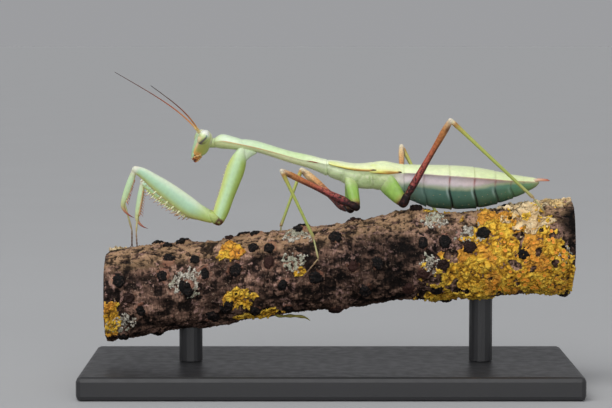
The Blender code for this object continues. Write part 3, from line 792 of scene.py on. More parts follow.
def make_mouth():
    """Upper lip, jaws with dark tips, lower lip, and two pairs of jointed palps."""
    lip = mouth_lobe("upper_lip", UPPER_LIP)
    jaws = [mouth_lobe("jaw", JAW, across) for across in SIDES.values()]
    mouth = join("jaws_and_lower_lip", [*jaws, mouth_lobe("lower_lip", LOWER_LIP)])
    palps = []
    for across in SIDES.values():
        for route, thick in PALPS:
            points = smooth_path([head_point(x, y * across, z) for x, y, z in route], 33)
            radii = [thick * (0.82 + 0.3 * ((k % 8) / 8)) for k in range(32)]
            palps.append(sweep("palp", points, [*radii, 0.04]))
    return lip, mouth, join("palps", palps)


def make_brow_eyes():
    """The three small simple eyes on the brow."""
    bead = ball(14, 8, 0.1 * MM)
    places = [(Matrix.Translation(head_point(-read(HEAD_FRONT, z), y, z)), y)
              for y, z in ((0.0, 0.72), (-0.2, 1.0), (0.2, 1.0))]
    eyes = copies("brow_eyes", [bead], places)
    remove(bead)
    return eyes


# ---------------------------------------------------------------- legs

def joints_of(side, pair):
    """The leg's joints from root to toe."""
    x, y, z = LEG_ROOTS[pair]
    points = [Vector((x, y * SIDES[side], z)) * MM]
    hip, thigh, *rest = LEG_POSE[side, pair]
    for way, length in zip((hip, thigh, thigh, *rest), LEG_LENGTHS[pair]):
        points.append(points[-1] + direction(*way) * length * MM)
    return points


SOLID_PARTS = ("coxa", "trochanter", "femur", "tibia", "tarsus")
# Each part's outline, as (share, half height, half width); the right middle thigh has its own.
COXA = {"fore": ((0.0, 0.8, 0.7), (0.05, 1.0, 0.86), (0.13, 1.36, 1.04), (0.26, 1.6, 1.14),
                 (0.4, 1.56, 1.1), (0.65, 1.36, 1.02), (0.88, 1.3, 1.0), (1.0, 1.04, 0.86)),
        "mid": ((0.0, 0.8, 0.45), (0.2, 1.2, 0.8), (0.42, 1.16, 0.92), (0.7, 1.02, 0.9), (0.9, 0.92, 0.84),
                (1.0, 0.74, 0.7)),
        "hind": ((0.0, 1.1, 0.3), (0.15, 1.6, 0.6), (0.35, 1.82, 0.86), (0.6, 1.6, 0.98),
                 (0.85, 1.24, 0.94), (1.0, 0.9, 0.76))}
FEMUR = {"fore": ((0.0, 0.85, 0.68), (0.1, 1.2, 0.82), (0.3, 1.68, 0.95), (0.6, 1.52, 0.9),
                  (0.85, 1.05, 0.7), (0.94, 0.82, 0.6), (1.0, 0.68, 0.55)),
         "mid": ((0.0, 0.6, 0.52), (0.08, 0.78, 0.58), (0.28, 0.62, 0.46), (0.5, 0.48, 0.38),
                 (0.7, 0.52, 0.4), (0.86, 0.54, 0.42), (0.95, 0.44, 0.38), (1.0, 0.36, 0.36)),
         "far_mid": ((0.0, 0.6, 0.52), (0.08, 0.92, 0.6), (0.25, 0.72, 0.48), (0.45, 0.62, 0.4),
                     (0.65, 0.74, 0.42), (0.86, 0.7, 0.42), (0.95, 0.5, 0.38), (1.0, 0.36, 0.36)),
         "hind": ((0.0, 0.52, 0.5), (0.1, 0.66, 0.6), (0.35, 0.58, 0.5), (0.6, 0.5, 0.43),
                  (0.85, 0.6, 0.46), (0.95, 0.52, 0.42), (1.0, 0.42, 0.4))}
TIBIA = {"fore": ((0.0, 0.4, 0.4), (0.12, 0.5, 0.44), (0.4, 0.62, 0.48), (0.8, 0.55, 0.42),
                  (1.0, 0.42, 0.36)),
         "mid": ((0.0, 0.34, 0.34), (0.07, 0.4, 0.38), (0.2, 0.31, 0.3), (0.8, 0.26, 0.26),
                 (1.0, 0.3, 0.3)),
         "hind": ((0.0, 0.36, 0.36), (0.05, 0.44, 0.42), (0.15, 0.36, 0.34), (0.7, 0.29, 0.28),
                  (0.96, 0.27, 0.27), (1.0, 0.31, 0.3))}
FORE_BOW = {"left": ((0.0, 0.4), (0.14, 0.6), (0.3, 0.6), (0.55, 0.22), (0.75, -0.08), (0.93, -0.33),
                     (1.0, -0.12)),
            "right": ((0.0, 0.4), (0.14, 0.6), (0.3, 0.75), (0.55, 0.6), (0.75, 0.45), (0.93, 0.1),
                      (1.0, -0.05))}
INTO_TRUNK = {"fore": (0.1, 0.0), "mid": (1.7, 0.0), "hind": (1.9, -0.6)}  # along the hip, and along X
TROCHANTER = {"fore": 1.02, "mid": 0.76, "hind": 0.92}  # the ring's radius
RING_SHAPE = ((0.0, 0.9, 0.92), (0.3, 1.0, 1.0), (0.7, 0.86, 0.88), (1.0, 0.72, 0.72))
THIGH_START = {"fore": -0.05, "mid": 0.3, "hind": 0.4}  # how far past the ring the thigh begins
FAR_MID_DROP = 0.55
CLAW_REACH = (1.75, 2.9)  # how far the claw reaches down the shin, and across towards the thigh
CLAW_CURL = math.radians(75)
FOOT_SET = (0.36, 0.24)  # from the shin's end, to its outer side and behind it
# The rows of thorns: count, and first place and spread as shares, on the thigh and on the shin.
OUTER_ROWS = ((5, 0.3, 0.42), (9, 0.22, 0.72))
INNER_ROWS = ((19, 0.3, 0.6), (12, 0.22, 0.72))
LONG_THORNS = ((0.27, 0.8), (0.31, 1.15), (0.36, 1.45), (0.41, 1.1))  # (share, length)
THORN = ((-0.25, 0.19, 0.0), (0.0, 0.17, 0.0), (0.35, 0.11, 0.02), (0.7, 0.06, 0.09), (0.95, 0.025, 0.2),
         (1.0, 0.008, 0.23))  # (height, radius, lean)


def make_thorn():
    """A thorn one millimetre long on +Z, a little hooked towards +X."""
    rings = []
    for height, radius, lean in THORN:
        centre = Vector((lean, 0.0, height)) * MM
        rings.append((height, ring_at(centre, ACROSS, REAR, radius, radius, 8)))
    return loft("thorn", rings, levels=0)


def thorn_place(root, way, hook, length, width):
    """Where a thorn of the given length and width stands."""
    way = way.normalized()
    hook = across_from(way, hook)
    turn = Matrix((hook, way.cross(hook), way)).transposed().to_4x4()
    return Matrix.Translation(root) @ turn @ Matrix.Diagonal((width, width, length, 1.0))


def spread(count, first, reach):
    return [first + reach * (k + 0.5) / count for k in range(count)]


def make_foot(side, pair, points):
    """A long first joint and four short ones, each widest at its end, then two small claws."""
    shin_start, ankle, bend, toe = *points[3:6], on_bark(points[6])
    root = ankle
    if pair == "fore":
        along = (ankle - shin_start).normalized()
        behind = across_from(along, points[2] - shin_start)
        root = ankle - along * 0.5 * MM
        ankle = ankle + (ACROSS * SIDES[side] * FOOT_SET[0] - behind * FOOT_SET[1]) * MM
    else:
        bend = on_bark(bend)
    joints = [bend.lerp(toe, share) for share in (0.0, 0.32, 0.56, 0.76, 1.0)]
    parts = []
    for number, (start, end) in enumerate(zip([root, *joints], joints)):
        arch, count, thin, thick = (0.08, 12, 0.12, 0.165) if number else (0.0, 22, 0.15, 0.19)
        route = smooth_path([start, start.lerp(end, 0.5) + UP * arch * MM, end], count)
        parts.append(sweep("joint", route, [0.1, thin, thin, thin + 0.2 * (thick - thin), thick, 0.1]))
    way = (joints[-1] - joints[-2]).normalized()
    for turn in (-1, 1):
        aside = way.cross(-UP).normalized() * turn
        nail = [joints[-1] + (way * far + aside * out - UP * drop) * MM
                for far, out, drop in ((0, 0, 0), (0.3, 0.2, 0), (0.55, 0.32, 0.1), (0.68, 0.34, 0.32))]
        parts.append(sweep("nail", smooth_path(nail, 9), [0.09, 0.07, 0.05, 0.012], sides=8))
    foot = join(f"{side}_{pair}_foot", parts)
    whole = (toe - ankle).length
    set_marks(foot, along=[min(1.0, (vertex.co - ankle).length / whole) for vertex in foot.data.vertices])
    return foot


def make_fore_claw(side, knee, ankle, inward):
    """The shin's long hooked claw."""
    along = (ankle - knee).normalized()
    path = [knee.lerp(ankle, 0.93)]
    for share in (0.0, 0.2, 0.4, 0.6, 0.8, 1.0, 1.15):
        curl = CLAW_CURL * share
        down, across = CLAW_REACH[0] * math.sin(curl), CLAW_REACH[1] * (1 - math.cos(curl))
        path.append(ankle + (along * down + inward * across) * MM)
    radii = [0.36, 0.37, 0.3, 0.23, 0.16, 0.09, 0.012]
    return sweep(f"{side}_fore_claw", smooth_path(path, 26), radii, sides=14)


def make_fore_thorns(side, points, plane, thorn):
    """The rows of thorns on the thigh and the shin that close on each other."""
    hip, knee, ankle = points[2:5]
    thigh, shin = (knee - hip).normalized(), (ankle - knee).normalized()
    under, inward = across_from(thigh, ankle - knee), across_from(shin, hip - knee)
    places = []
    for turn in (-1, 1):
        edge = plane * turn
        outer = turn != SIDES[side]
        on_thigh, on_shin = OUTER_ROWS if outer else INNER_ROWS
        for k, share in enumerate(spread(*on_thigh)):
            deep = read(depths(FEMUR["fore"]), share) + read(FORE_BOW[side], share) - 0.12
            root = hip.lerp(knee, share) + (under * deep + edge * 0.42) * MM
            length, width = (1.2 - 0.5 * share, 1.2) if outer else ((0.5, 0.9)[k % 2], 0.95)
            lean = under + edge * 0.45 + thigh * 0.25
            places.append((thorn_place(root, lean, thigh, length, width), 0.2))
        for share in spread(*on_shin):
            root = knee.lerp(ankle, share) + (inward * 0.46 + edge * 0.26) * MM
            way = inward + edge * 0.4 + shin * 0.75
            places.append((thorn_place(root, way, shin, 0.35 + 0.5 * share, 0.58), 0.9))
    for share, length in LONG_THORNS:
        root = hip.lerp(knee, share) + under * (1.45 + read(FORE_BOW[side], share)) * MM
        places.append((thorn_place(root, under + thigh * 0.35, thigh, length, 1.0), 0.4))
    return copies(f"{side}_fore_thorns", [thorn], places)


def make_hip_teeth(side, root, end, front, thorn):
    """Fine teeth along the front edge of the foreleg's first piece."""
    along = (end - root).normalized()
    places = []
    for k in range(17):
        share = 0.26 + 0.68 * k / 16
        spot = root.lerp(end, share) + front * (read(depths(COXA["fore"]), share) - 0.05) * MM
        places.append((thorn_place(spot, front + along * 0.3, along, 0.26 if k % 3 else 0.42, 0.55), 0.0))
    return copies(f"{side}_coxa_teeth", [thorn], places)


def make_web(side, root, hip, deep):
    """The pale soft skin that spreads from the trunk's underside and narrows into the foreleg."""
    way = (hip - root).normalized()
    across = way.cross(deep)
    rear = -deep if deep.x < 0 else deep
    steps = 12
    rings = []
    for k in range(steps + 1):
        share = k / steps
        grown = (1 - share) ** 2
        centre = root + (way * (2.9 * share - 0.75) + rear * (0.45 + 0.5 * grown)
                         - ACROSS * SIDES[side] * 0.35 * grown) * MM
        closed = 0.4 if k in (0, steps) else 1.0
        reach, thick = 0.92 + 1.15 * grown - 0.25 * share, 0.62 + 0.3 * grown - 0.12 * share
        rings.append((0.0 if share < 0.75 else 0.1,
                      ring_at(centre, rear, across, reach * closed, thick * closed, 24)))
    return loft("web", rings)


def make_leg(side, pair, thorn):
    """One leg from hip to foot; gives its pieces by the name of their part."""
    points = joints_of(side, pair)
    root, hip, ring, knee, ankle = points[:5]
    down, way, thigh, shin = ((end - start).normalized() for start, end in zip(points, points[1:5]))
    bend = down.cross(thigh).normalized()
    front = across_from(hip - root, -REAR)
    deep = across_from(down, across_from(down, ring - hip))
    under, inward = across_from(thigh, ankle - knee), across_from(shin, ring - knee)
    fore = pair == "fore"
    made = {}
    sunk, back = INTO_TRUNK[pair]
    made["coxa"] = limb(f"{side}_{pair}_hip", root + (REAR * back - down * sunk) * MM, hip,
                        deep if fore else bend.cross(down), COXA[pair], sides=24, steps=18)
    if fore:
        made["coxa"] = join(f"{side}_fore_hip", [made["coxa"], make_web(side, root, hip, deep)])
    radius = TROCHANTER[pair]
    sizes = [(share, tall * radius, wide * radius) for share, tall, wide in RING_SHAPE]
    made["trochanter"] = limb(f"{side}_{pair}_hip_ring", hip - way * 0.25 * MM, ring + way * 0.35 * MM,
                              bend, sizes, sides=20, steps=8)
    begin = ring + thigh * THIGH_START[pair] * MM
    far_mid = (side, pair) == ("right", "mid")
    if far_mid:
        begin.z -= FAR_MID_DROP * MM
    made["femur"] = limb(f"{side}_{pair}_thigh", begin, knee, under, FEMUR["far_mid" if far_mid else pair],
                         sides=24, steps=26, bow=FORE_BOW[side] if fore else STRAIGHT)
    made["tibia"] = limb(f"{side}_{pair}_shin", knee, ankle, inward, TIBIA[pair], steps=20, caps=(0.9, 0.5))
    made["tarsus"] = make_foot(side, pair, points)
    if fore:
        made["claw"] = make_fore_claw(side, knee, ankle, inward)
        made["thorns"] = make_fore_thorns(side, points, thigh.cross(under).normalized(), thorn)
        made["teeth"] = make_hip_teeth(side, root, hip, deep if deep.x < 0 else front, thorn)
        return made
    spurs = []
    for turn in (-1, 1):
        aside = shin.cross(inward) * turn
        spurs.append((thorn_place(ankle + aside * 0.18 * MM, shin + aside * 0.5, shin, 0.6, 0.5), 0.9))
    made["spurs"] = copies(f"{side}_{pair}_spurs", [thorn], spurs)
    return made


# ---------------------------------------------------------------- perch

PERCH_ENDS = (-38.45, 41.45)
BARK_GRID = (380, 216)  # rows along the branch and columns round it
END_ROWS = 12
PERCH_SPAN = 80  # the branch's length, for the worn rims of its ends
KNOB_STEP = 2
BARK_RADIUS = 7.4  # turns an angle round the branch into millimetres over its bark
CRUST_RADIUS = 7.5
ROT = (42.0, 3.2, 34.0, 25.0)  # the dark bare wood: its middle and width along the branch, and round it
HUMPS = ((0.85, 14.5, 3.6, 82, 25), (0.75, 20.0, 5.0, 64, 15))  # height, x, length, turn, breadth
# The near side's knobs, and the lichens' patches: (x, turn) and (x, turn, long, wide), in millimetres
# and in degrees up from the branch's left side.
NEAR_KNOBS = ((-27.4, 46), (-23.0, 40), (-35.9, 22), (-34.1, -1), (-32.1, -19), (-28.4, 22), (-21.3, 18),
              (-24.4, 2), (-13.1, 48), (-16.0, 18), (-10.4, 45), (-10.4, 22), (-17.6, -31), (-20.0, -47),
              (-12.8, -44), (-8.1, -10), (-7.4, -52), (-35.3, -58), (-25.7, 88), (-27.9, 80), (-17.3, 83),
              (-12.8, 80), (-5.4, 84), (0.9, 46), (-0.4, 21), (3.8, 2), (8.0, 2), (-2.4, -6), (4.3, 86),
              (14.8, 84), (15.7, 23), (19.4, 24), (19.0, -6), (15.7, -16), (13.2, -39), (23.4, 15),
              (25.9, 33), (5.9, -34), (0.9, -68), (18.2, -46), (32.6, 0), (40.2, 38), (30.4, 82))

GOLDEN_PATCHES = ((32.0, 6, 18.6, 19.0), (25.5, -26, 16.5, 11.0), (38.0, -45, 9.0, 11.0),
                  (22.0, -62, 12.0, 6.5), (28.5, 52, 7.0, 6.0),
                  (-16.9, 48, 5.2, 4.2), (-15.5, -24, 6.2, 4.2), (-12.5, -56, 9.0, 2.6),
                  (-5.3, 4, 2.2, 1.4), (17.2, 79, 2.2, 1.5), (20.6, 82, 1.8, 1.3), (-37.3, -26, 3.6, 6.0),
                  (-33.0, 150, 12.0, 9.0), (5.0, 168, 13.0, 8.0), (30.0, 140, 14.0, 10.0),
                  (-12.0, 205, 8.0, 6.0), (22.0, 215, 9.0, 7.0))
GREY_PATCHES = ((-24.3, 11, 5.6, 4.6), (-6.2, 20, 4.2, 3.6), (-6.0, 62, 5.0, 4.0), (-35.8, -36, 4.6, 3.4),
                (23.6, 33, 4.4, 3.8), (18.0, 54, 4.6, 2.8), (40.0, -4, 2.6, 3.0), (16.6, -2, 3.6, 3.4),
                (-20.0, 160, 7.0, 5.0), (12.0, 130, 6.0, 5.0), (36.0, 190, 6.0, 6.0), (-2.0, 220, 6.0, 4.0))
PALE_PATCHES = ((35.6, 56, 11.5, 8.2), (38.5, 84, 7.0, 7.0), (31.0, 82, 5.0, 3.4), (-36.0, 118, 4.4, 5.0),
                (38.0, 120, 6.0, 5.0), (-10.0, 140, 6.0, 4.0))
STRAND_PATH = ((-9.6, -72, -0.1), (-8.6, -74, 0.35), (-7.2, -76, 0.5), (-5.6, -80, 0.7), (-4.2, -82, 1.1),
               (-3.4, -84, 1.7))
STRAND_SIZES = ((0.2, 0.3), (0.3, 0.5), (0.2, 0.4), (0.34, 0.5), (0.2, 0.3), (0.3, 0.42), (0.16, 0.24),
                (0.05, 0.08))
CUP = ((0.0, -0.5, 0.1), (0.0, 0.02, 0.2), (0.1, 0.17, 0.36), (0.3, 0.24, 0.38), (0.8, 0.2, 0.31),
       (1.0, 0.15, 0.08))  # (how far inside, height, radius)
HOLES = Vector((0.0, 30.0, 0.0))  # where the noise is read that tears holes in the crusts
CRUST_MARGIN = 1.3  # how much larger a patch's grid is than the patch


def perch_reach(x, angle):
    """The distance in millimetres from the branch's axis to its bark."""
    reach = read(PERCH_RADIUS, x) + 0.18 * math.sin(3 * angle + x * 0.31)
    reach += 0.15 * math.sin(5 * angle - x * 0.53)
    turn = math.degrees(math.pi - angle % math.tau)
    humps = (high * bell(x - at, long) * bell(turn - up, wide) for high, at, long, up, wide in HUMPS)
    return reach + sum(humps)


def round_axis(x, angle, radius):
    return Vector((x, radius * math.cos(angle), radius * math.sin(angle)))


def bark_point(x, angle, lift=0.0):
    return (round_axis(x, angle, perch_reach(x, angle) + lift) + UP * read(PERCH_AXIS, x)) * MM


def bark_spot(point):
    """The (x, angle) of a point round the branch."""
    x = point.x / MM
    return x, math.atan2(point.z / MM - read(PERCH_AXIS, x), point.y / MM)


def on_bark(point):
    """The place straight out from the branch's axis where a foot through the point rests."""
    return bark_point(*bark_spot(point), 0.3)


def upright(x, angle, lift):
    """A place on the bark whose +Z points away from the branch's axis."""
    turn = round_axis(0.0, angle, 1.0).to_track_quat("Z", "X").to_matrix().to_4x4()
    return Matrix.Translation(bark_point(x, angle, lift)) @ turn


def near(turn):
    """The angle round the branch of a place that lies so many degrees up from its left side."""
    return math.pi - math.radians(turn)


def way_off(x, angle, spot):
    """The distance over the bark from one (x, angle) to another, in millimetres."""
    turn = (angle - spot[1] + math.pi) % math.tau - math.pi
    return math.hypot(x - spot[0], turn * BARK_RADIUS)


def clear_of_feet(x, angle, room):
    """0 at a foot, rising to 1 where the feet are further off than the room, in millimetres."""
    return fade(min(way_off(x, angle, foot) for foot in FEET), room * 0.4, room)


def rotten(x, angle):
    """1 where the wood near the branch's upper end is dark and bare, and 0 elsewhere."""
    turn = math.degrees((math.tau - angle) % math.tau) - 180.0
    return bell(x - ROT[0], ROT[1]) * bell(turn - ROT[2], ROT[3])


def knob_spots():
    """The knobs of the near side, then others at random over the rest of the branch."""
    chance = random.Random(11)
    spots = [(x, near(turn)) for x, turn in NEAR_KNOBS]
    spots += [(chance.uniform(-37.5, 40.5), near(chance.uniform(95, 265))) for _ in range(70)]
    return [spot for spot in spots if clear_of_feet(*spot, 2.0) == 1.0]


FEET = [bark_spot(point) for side in SIDES for pair in LEG_LENGTHS for point in joints_of(side, pair)[5:]]
KNOB_SPOTS = knob_spots()


@lru_cache(maxsize=None)
def knobs_about(step):
    """The knobs that may raise the bark near one step along the branch."""
    return [spot for spot in KNOB_SPOTS if abs(spot[0] - step * KNOB_STEP) < 3.6]


@lru_cache(maxsize=4)
def bark_plate(x, angle):
    """The bark's plates: how far a place lies from the nearest crack, and its plate's own number."""
    spot = round_axis(x * 0.62, angle, 6.2)
    spot += noise.noise_vector(spot * 0.7) * 0.6
    reaches, places = noise.voronoi(spot)
    return reaches[1] - reaches[0], noise.cell(places[0] * 7.0)


def bark_relief(x, angle):
    """The height in millimetres of the bark's plates, cracks and grain over the plain branch."""
    lumps = noise.fractal(round_axis(x * 0.3, angle, 2.6), 0.8, 2.0, 3)
    cracks = 1.0 - 2.0 * abs(noise.noise(round_axis(x * 0.3, angle, 8.0) + Vector((7.0, 0.0, 0.0))))
    flakes = noise.fractal(round_axis(x * 1.3, angle, 9.0), 0.6, 2.1, 4)
    wrinkles = noise.fractal(round_axis(x * 2.6, angle, 1.7), 0.7, 2.0, 3)
    crack, plate = bark_plate(x, angle)
    plates = 0.09 * plate * fade(crack, 0.0, 0.16) - 0.1 * (1 - fade(crack, 0.0, 0.1))
    close = knobs_about(round(x / KNOB_STEP))
    swell = max((bell(way_off(x, angle, knob) - 1.05, 0.5) for knob in close), default=0.0)
    return (0.26 * lumps - 0.6 * max(cracks - 0.78, 0.0) + 0.15 * flakes + 0.12 * wrinkles + 1.2 * plates
            + 0.34 * swell * (1.0 + 0.6 * flakes))


def make_bark():
    """The whole bark from one grid, whose outer rows close over the sawn ends."""
    rows, columns = BARK_GRID
    total = rows + 2 * END_ROWS
    bark = named("bark_skin", grid(total, columns))
    marks = {"rise": [], "own": [], "inner": [], "up": [], "shade": []}
    for vertex in bark.data.vertices:
        row = round((vertex.co.x + 0.5) * total) - END_ROWS
        angle = math.tau * (round((vertex.co.y + 0.5) * columns) % columns) / columns
        along = min(max(row / rows, 0.0), 1.0)
        x = PERCH_ENDS[0] + (PERCH_ENDS[1] - PERCH_ENDS[0]) * along
        relief = bark_relief(x, angle) * clear_of_feet(x, angle, 1.6)
        inner = 1.0 - max(-row, row - rows, 0) / END_ROWS
        rim = 0.25 * bell(along * PERCH_SPAN, 0.35) + 0.25 * bell((1 - along) * PERCH_SPAN, 0.35)
        reach = (perch_reach(x, angle) + relief - rim) * inner
        if inner < 1.0:
            sawn = 0.05 * math.sin(inner * 60) * (1 - inner) + 0.12 * (1 - fade(inner, 0.9, 1.0))
            x += sawn if row < 0 else -sawn
        vertex.co = (round_axis(x, angle, reach) + UP * read(PERCH_AXIS, x)) * MM
        top = math.sin(angle)
        shade = max(bell(x - 8.0, 9.0) * fade(top, 0.95, 0.6), bell(x - 41.0, 2.6) * fade(top, 0.98, 0.8),
                    0.6 * fade(top, -0.3, -0.9), 2.6 * rotten(x, angle))
        for values, value in zip(marks.values(), (relief, bark_plate(x, angle)[1], inner, top, shade)):
            values.append(value)
    set_marks(bark, **marks)
    face_out(bark, merge=0.002 * MM)
    return bark


def crust_patch(number, patch, thick, lobe, ragged, gaps, cell):
    """One patch of a lichen crust, still without thickness; None if nothing of it shows."""
    middle, turn, long, wide = patch
    rows, columns = (max(int(length * CRUST_MARGIN / cell), 8) for length in (long, wide))
    part = grid(rows, columns)
    marks = {"rise": [], "own": [], "edge": []}
    for vertex in part.data.vertices:
        u, v = vertex.co.x * CRUST_MARGIN, vertex.co.y * CRUST_MARGIN
        x, angle = middle + u * long, near(turn + math.degrees(v * wide / CRUST_RADIUS))
        spot = round_axis(x, angle, CRUST_RADIUS)
        edge = 1.0 - math.hypot(2 * u, 2 * v)
        edge += ragged * noise.fractal(spot * 0.55 + Vector((number * 9.0, 0, 0)), 0.7, 2.0, 3)
        edge = min(edge, (gaps - noise.noise(spot * 0.8 / lobe + HOLES)) * 1.6) - rotten(x, angle) * 1.7
        if not PERCH_ENDS[0] + 0.1 < x < PERCH_ENDS[1] - 0.1:
            edge = -1.0
        reaches, places = noise.voronoi(spot / lobe + UP * noise.noise(spot) * 0.5)
        folds = fade(abs(noise.noise(spot * 1.15 / lobe + Vector((3.0, 0.0, 8.0)))), 0.0, 0.14)
        rise = (0.14 + 0.24 * fade(reaches[1] - reaches[0], 0.0, 0.3) + 0.24 * folds
                + 0.15 * noise.cell(places[0] * 10.0) + 0.2 * noise.fractal(spot * 1.5, 0.6, 2.0, 3)
                + 0.3 * bell(edge - 0.12, 0.12))
        lift = (thick * rise * fade(edge, -0.02, 0.1) - 0.12) * (0.25 + 0.75 * clear_of_feet(x, angle, 1.2))
        vertex.co = bark_point(x, angle, lift + bark_relief(x, angle) * 0.6)
        own = noise.noise(spot * 0.25 + Vector((5.0, 5.0, 5.0)))
        for values, value in zip(marks.values(), (rise, own, edge)):
            values.append(value)
    set_marks(part, **marks)
    edit(part)
    bpy.ops.mesh.select_all(action="DESELECT")
    for face in bmesh.from_edit_mesh(part.data).faces:
        if min(marks["edge"][vertex.index] for vertex in face.verts) < 0.0:
            face.select_set(True)
    bpy.ops.mesh.delete(type="FACE")
    bpy.ops.mesh.select_all(action="SELECT")
    bpy.ops.mesh.delete_loose()
    bpy.ops.object.mode_set(mode="OBJECT")
    if not part.data.polygons:
        remove(part)
        return None
    return part


def make_crust(name, patches, thick, lobe, ragged, gaps, cell=0.15):
    """A lichen crust in patches, with the size of its lobes, the raggedness of its edge and its gaps."""
    parts = [crust_patch(number, patch, thick, lobe, ragged, gaps, cell)
             for number, patch in enumerate(patches)]
    crust = join(name, [part for part in parts if part])
    face = crust.data.polygons[0]
    axis = Vector((face.center.x, 0.0, read(PERCH_AXIS, face.center.x / MM) * MM))
    if face.normal.dot(face.center - axis) < 0:
        crust.data.flip_normals()
    refine(crust, "SOLIDIFY", thickness=0.32 * MM, offset=-1.0, use_even_offset=False)
    crust.data.shade_smooth()
    return crust


def make_knob(seed):
    """A dark wrinkled knob nearly two millimetres across, with a sunken top."""
    knob = ball(30, 18, 1.0)
    for vertex in knob.data.vertices:
        way = vertex.co.normalized()
        ridges = 0.5 - abs(noise.noise(way * 2.6 + Vector((0.0, seed * 7.0, 0.0))))
        lumps = noise.fractal(way * 1.7 + Vector((seed * 5.0, 0.0, 0.0)), 0.7, 2.2, 4)
        grow = 1.0 + 0.26 * lumps + 0.22 * ridges
        crater = 0.4 * bell(math.hypot(way.x, way.y), 0.4) * (way.z > 0)
        vertex.co = Vector((way.x * 0.72 * grow, way.y * 0.72 * grow, (way.z * grow - crater) * 0.46)) * MM
    return knob


def make_knobs():
    chance = random.Random(12)
    masters = [make_knob(seed) for seed in (1, 2, 3, 4)]
    places = []
    for x, angle in KNOB_SPOTS:
        size, long, spin = chance.uniform(1.1, 1.62), chance.uniform(0.85, 1.2), chance.uniform(0, 6.3)
        place = upright(x, angle, 0.22) @ Matrix.Rotation(spin, 4, "Z")
        places.append((place @ Matrix.Diagonal((size * long, size / long, size, 1.0)), chance.random()))
    knobs = copies("bark_knobs", masters, places)
    remove(*masters)
    return knobs


def make_lichen_cups():
    """Small orange cups that stand on the golden crust."""
    chance = random.Random(21)
    cup = loft("cup", [(inside, ring_at(UP * height * MM, REAR, ACROSS, wide, wide, 12))
                       for inside, height, wide in CUP])
    places = []
    while len(places) < 60:
        x, angle = chance.uniform(27.5, 39.8), near(chance.uniform(-52.0, 34.0))
        gap = 0.42 - noise.noise(round_axis(x, angle, CRUST_RADIUS) * 0.5 + HOLES)
        if gap >= 0.12 and rotten(x, angle) <= 0.1 and clear_of_feet(x, angle, 1.6) == 1.0:
            size = chance.uniform(0.55, 1.15)
            places.append((upright(x, angle, 0.34) @ Matrix.Scale(size, 4), size))
    cups = copies("lichen_cups", [cup], places)
    remove(cup)
    return cups


def make_strand():
    """A ribbon of lichen that hangs under the branch."""
    path = [bark_point(x, near(turn), lift) for x, turn, lift in STRAND_PATH]
    return sweep("lichen_strand", smooth_path(path, 40), STRAND_SIZES, sides=12)


# ---------------------------------------------------------------- finishes

def cuticle(name, roughness=0.38, grain=0.35, depth=0.02):
    """The start of a smooth insect skin, with a fine pebbled relief."""
    skin = Finish(name, roughness)
    skin.relief(skin.grain(grain, 4.0), depth)
    skin.set("Subsurface Weight", 0.12)
    skin.set("Subsurface Scale", 0.6 * MM)
    skin.set("Subsurface Radius", (0.7, 1.0, 0.4))
    return skin


def run_finish(skin, stops, *mottle):
    """A skin whose colour only changes along the piece."""
    skin.colour = skin.run(skin.mark("along"), *stops)
    return skin.paint(*mottle)


def even_finish(skin, colour, *mottle):
    """A skin of one mottled colour."""
    skin.colour = tone(*colour)
    return skin.paint(*mottle)


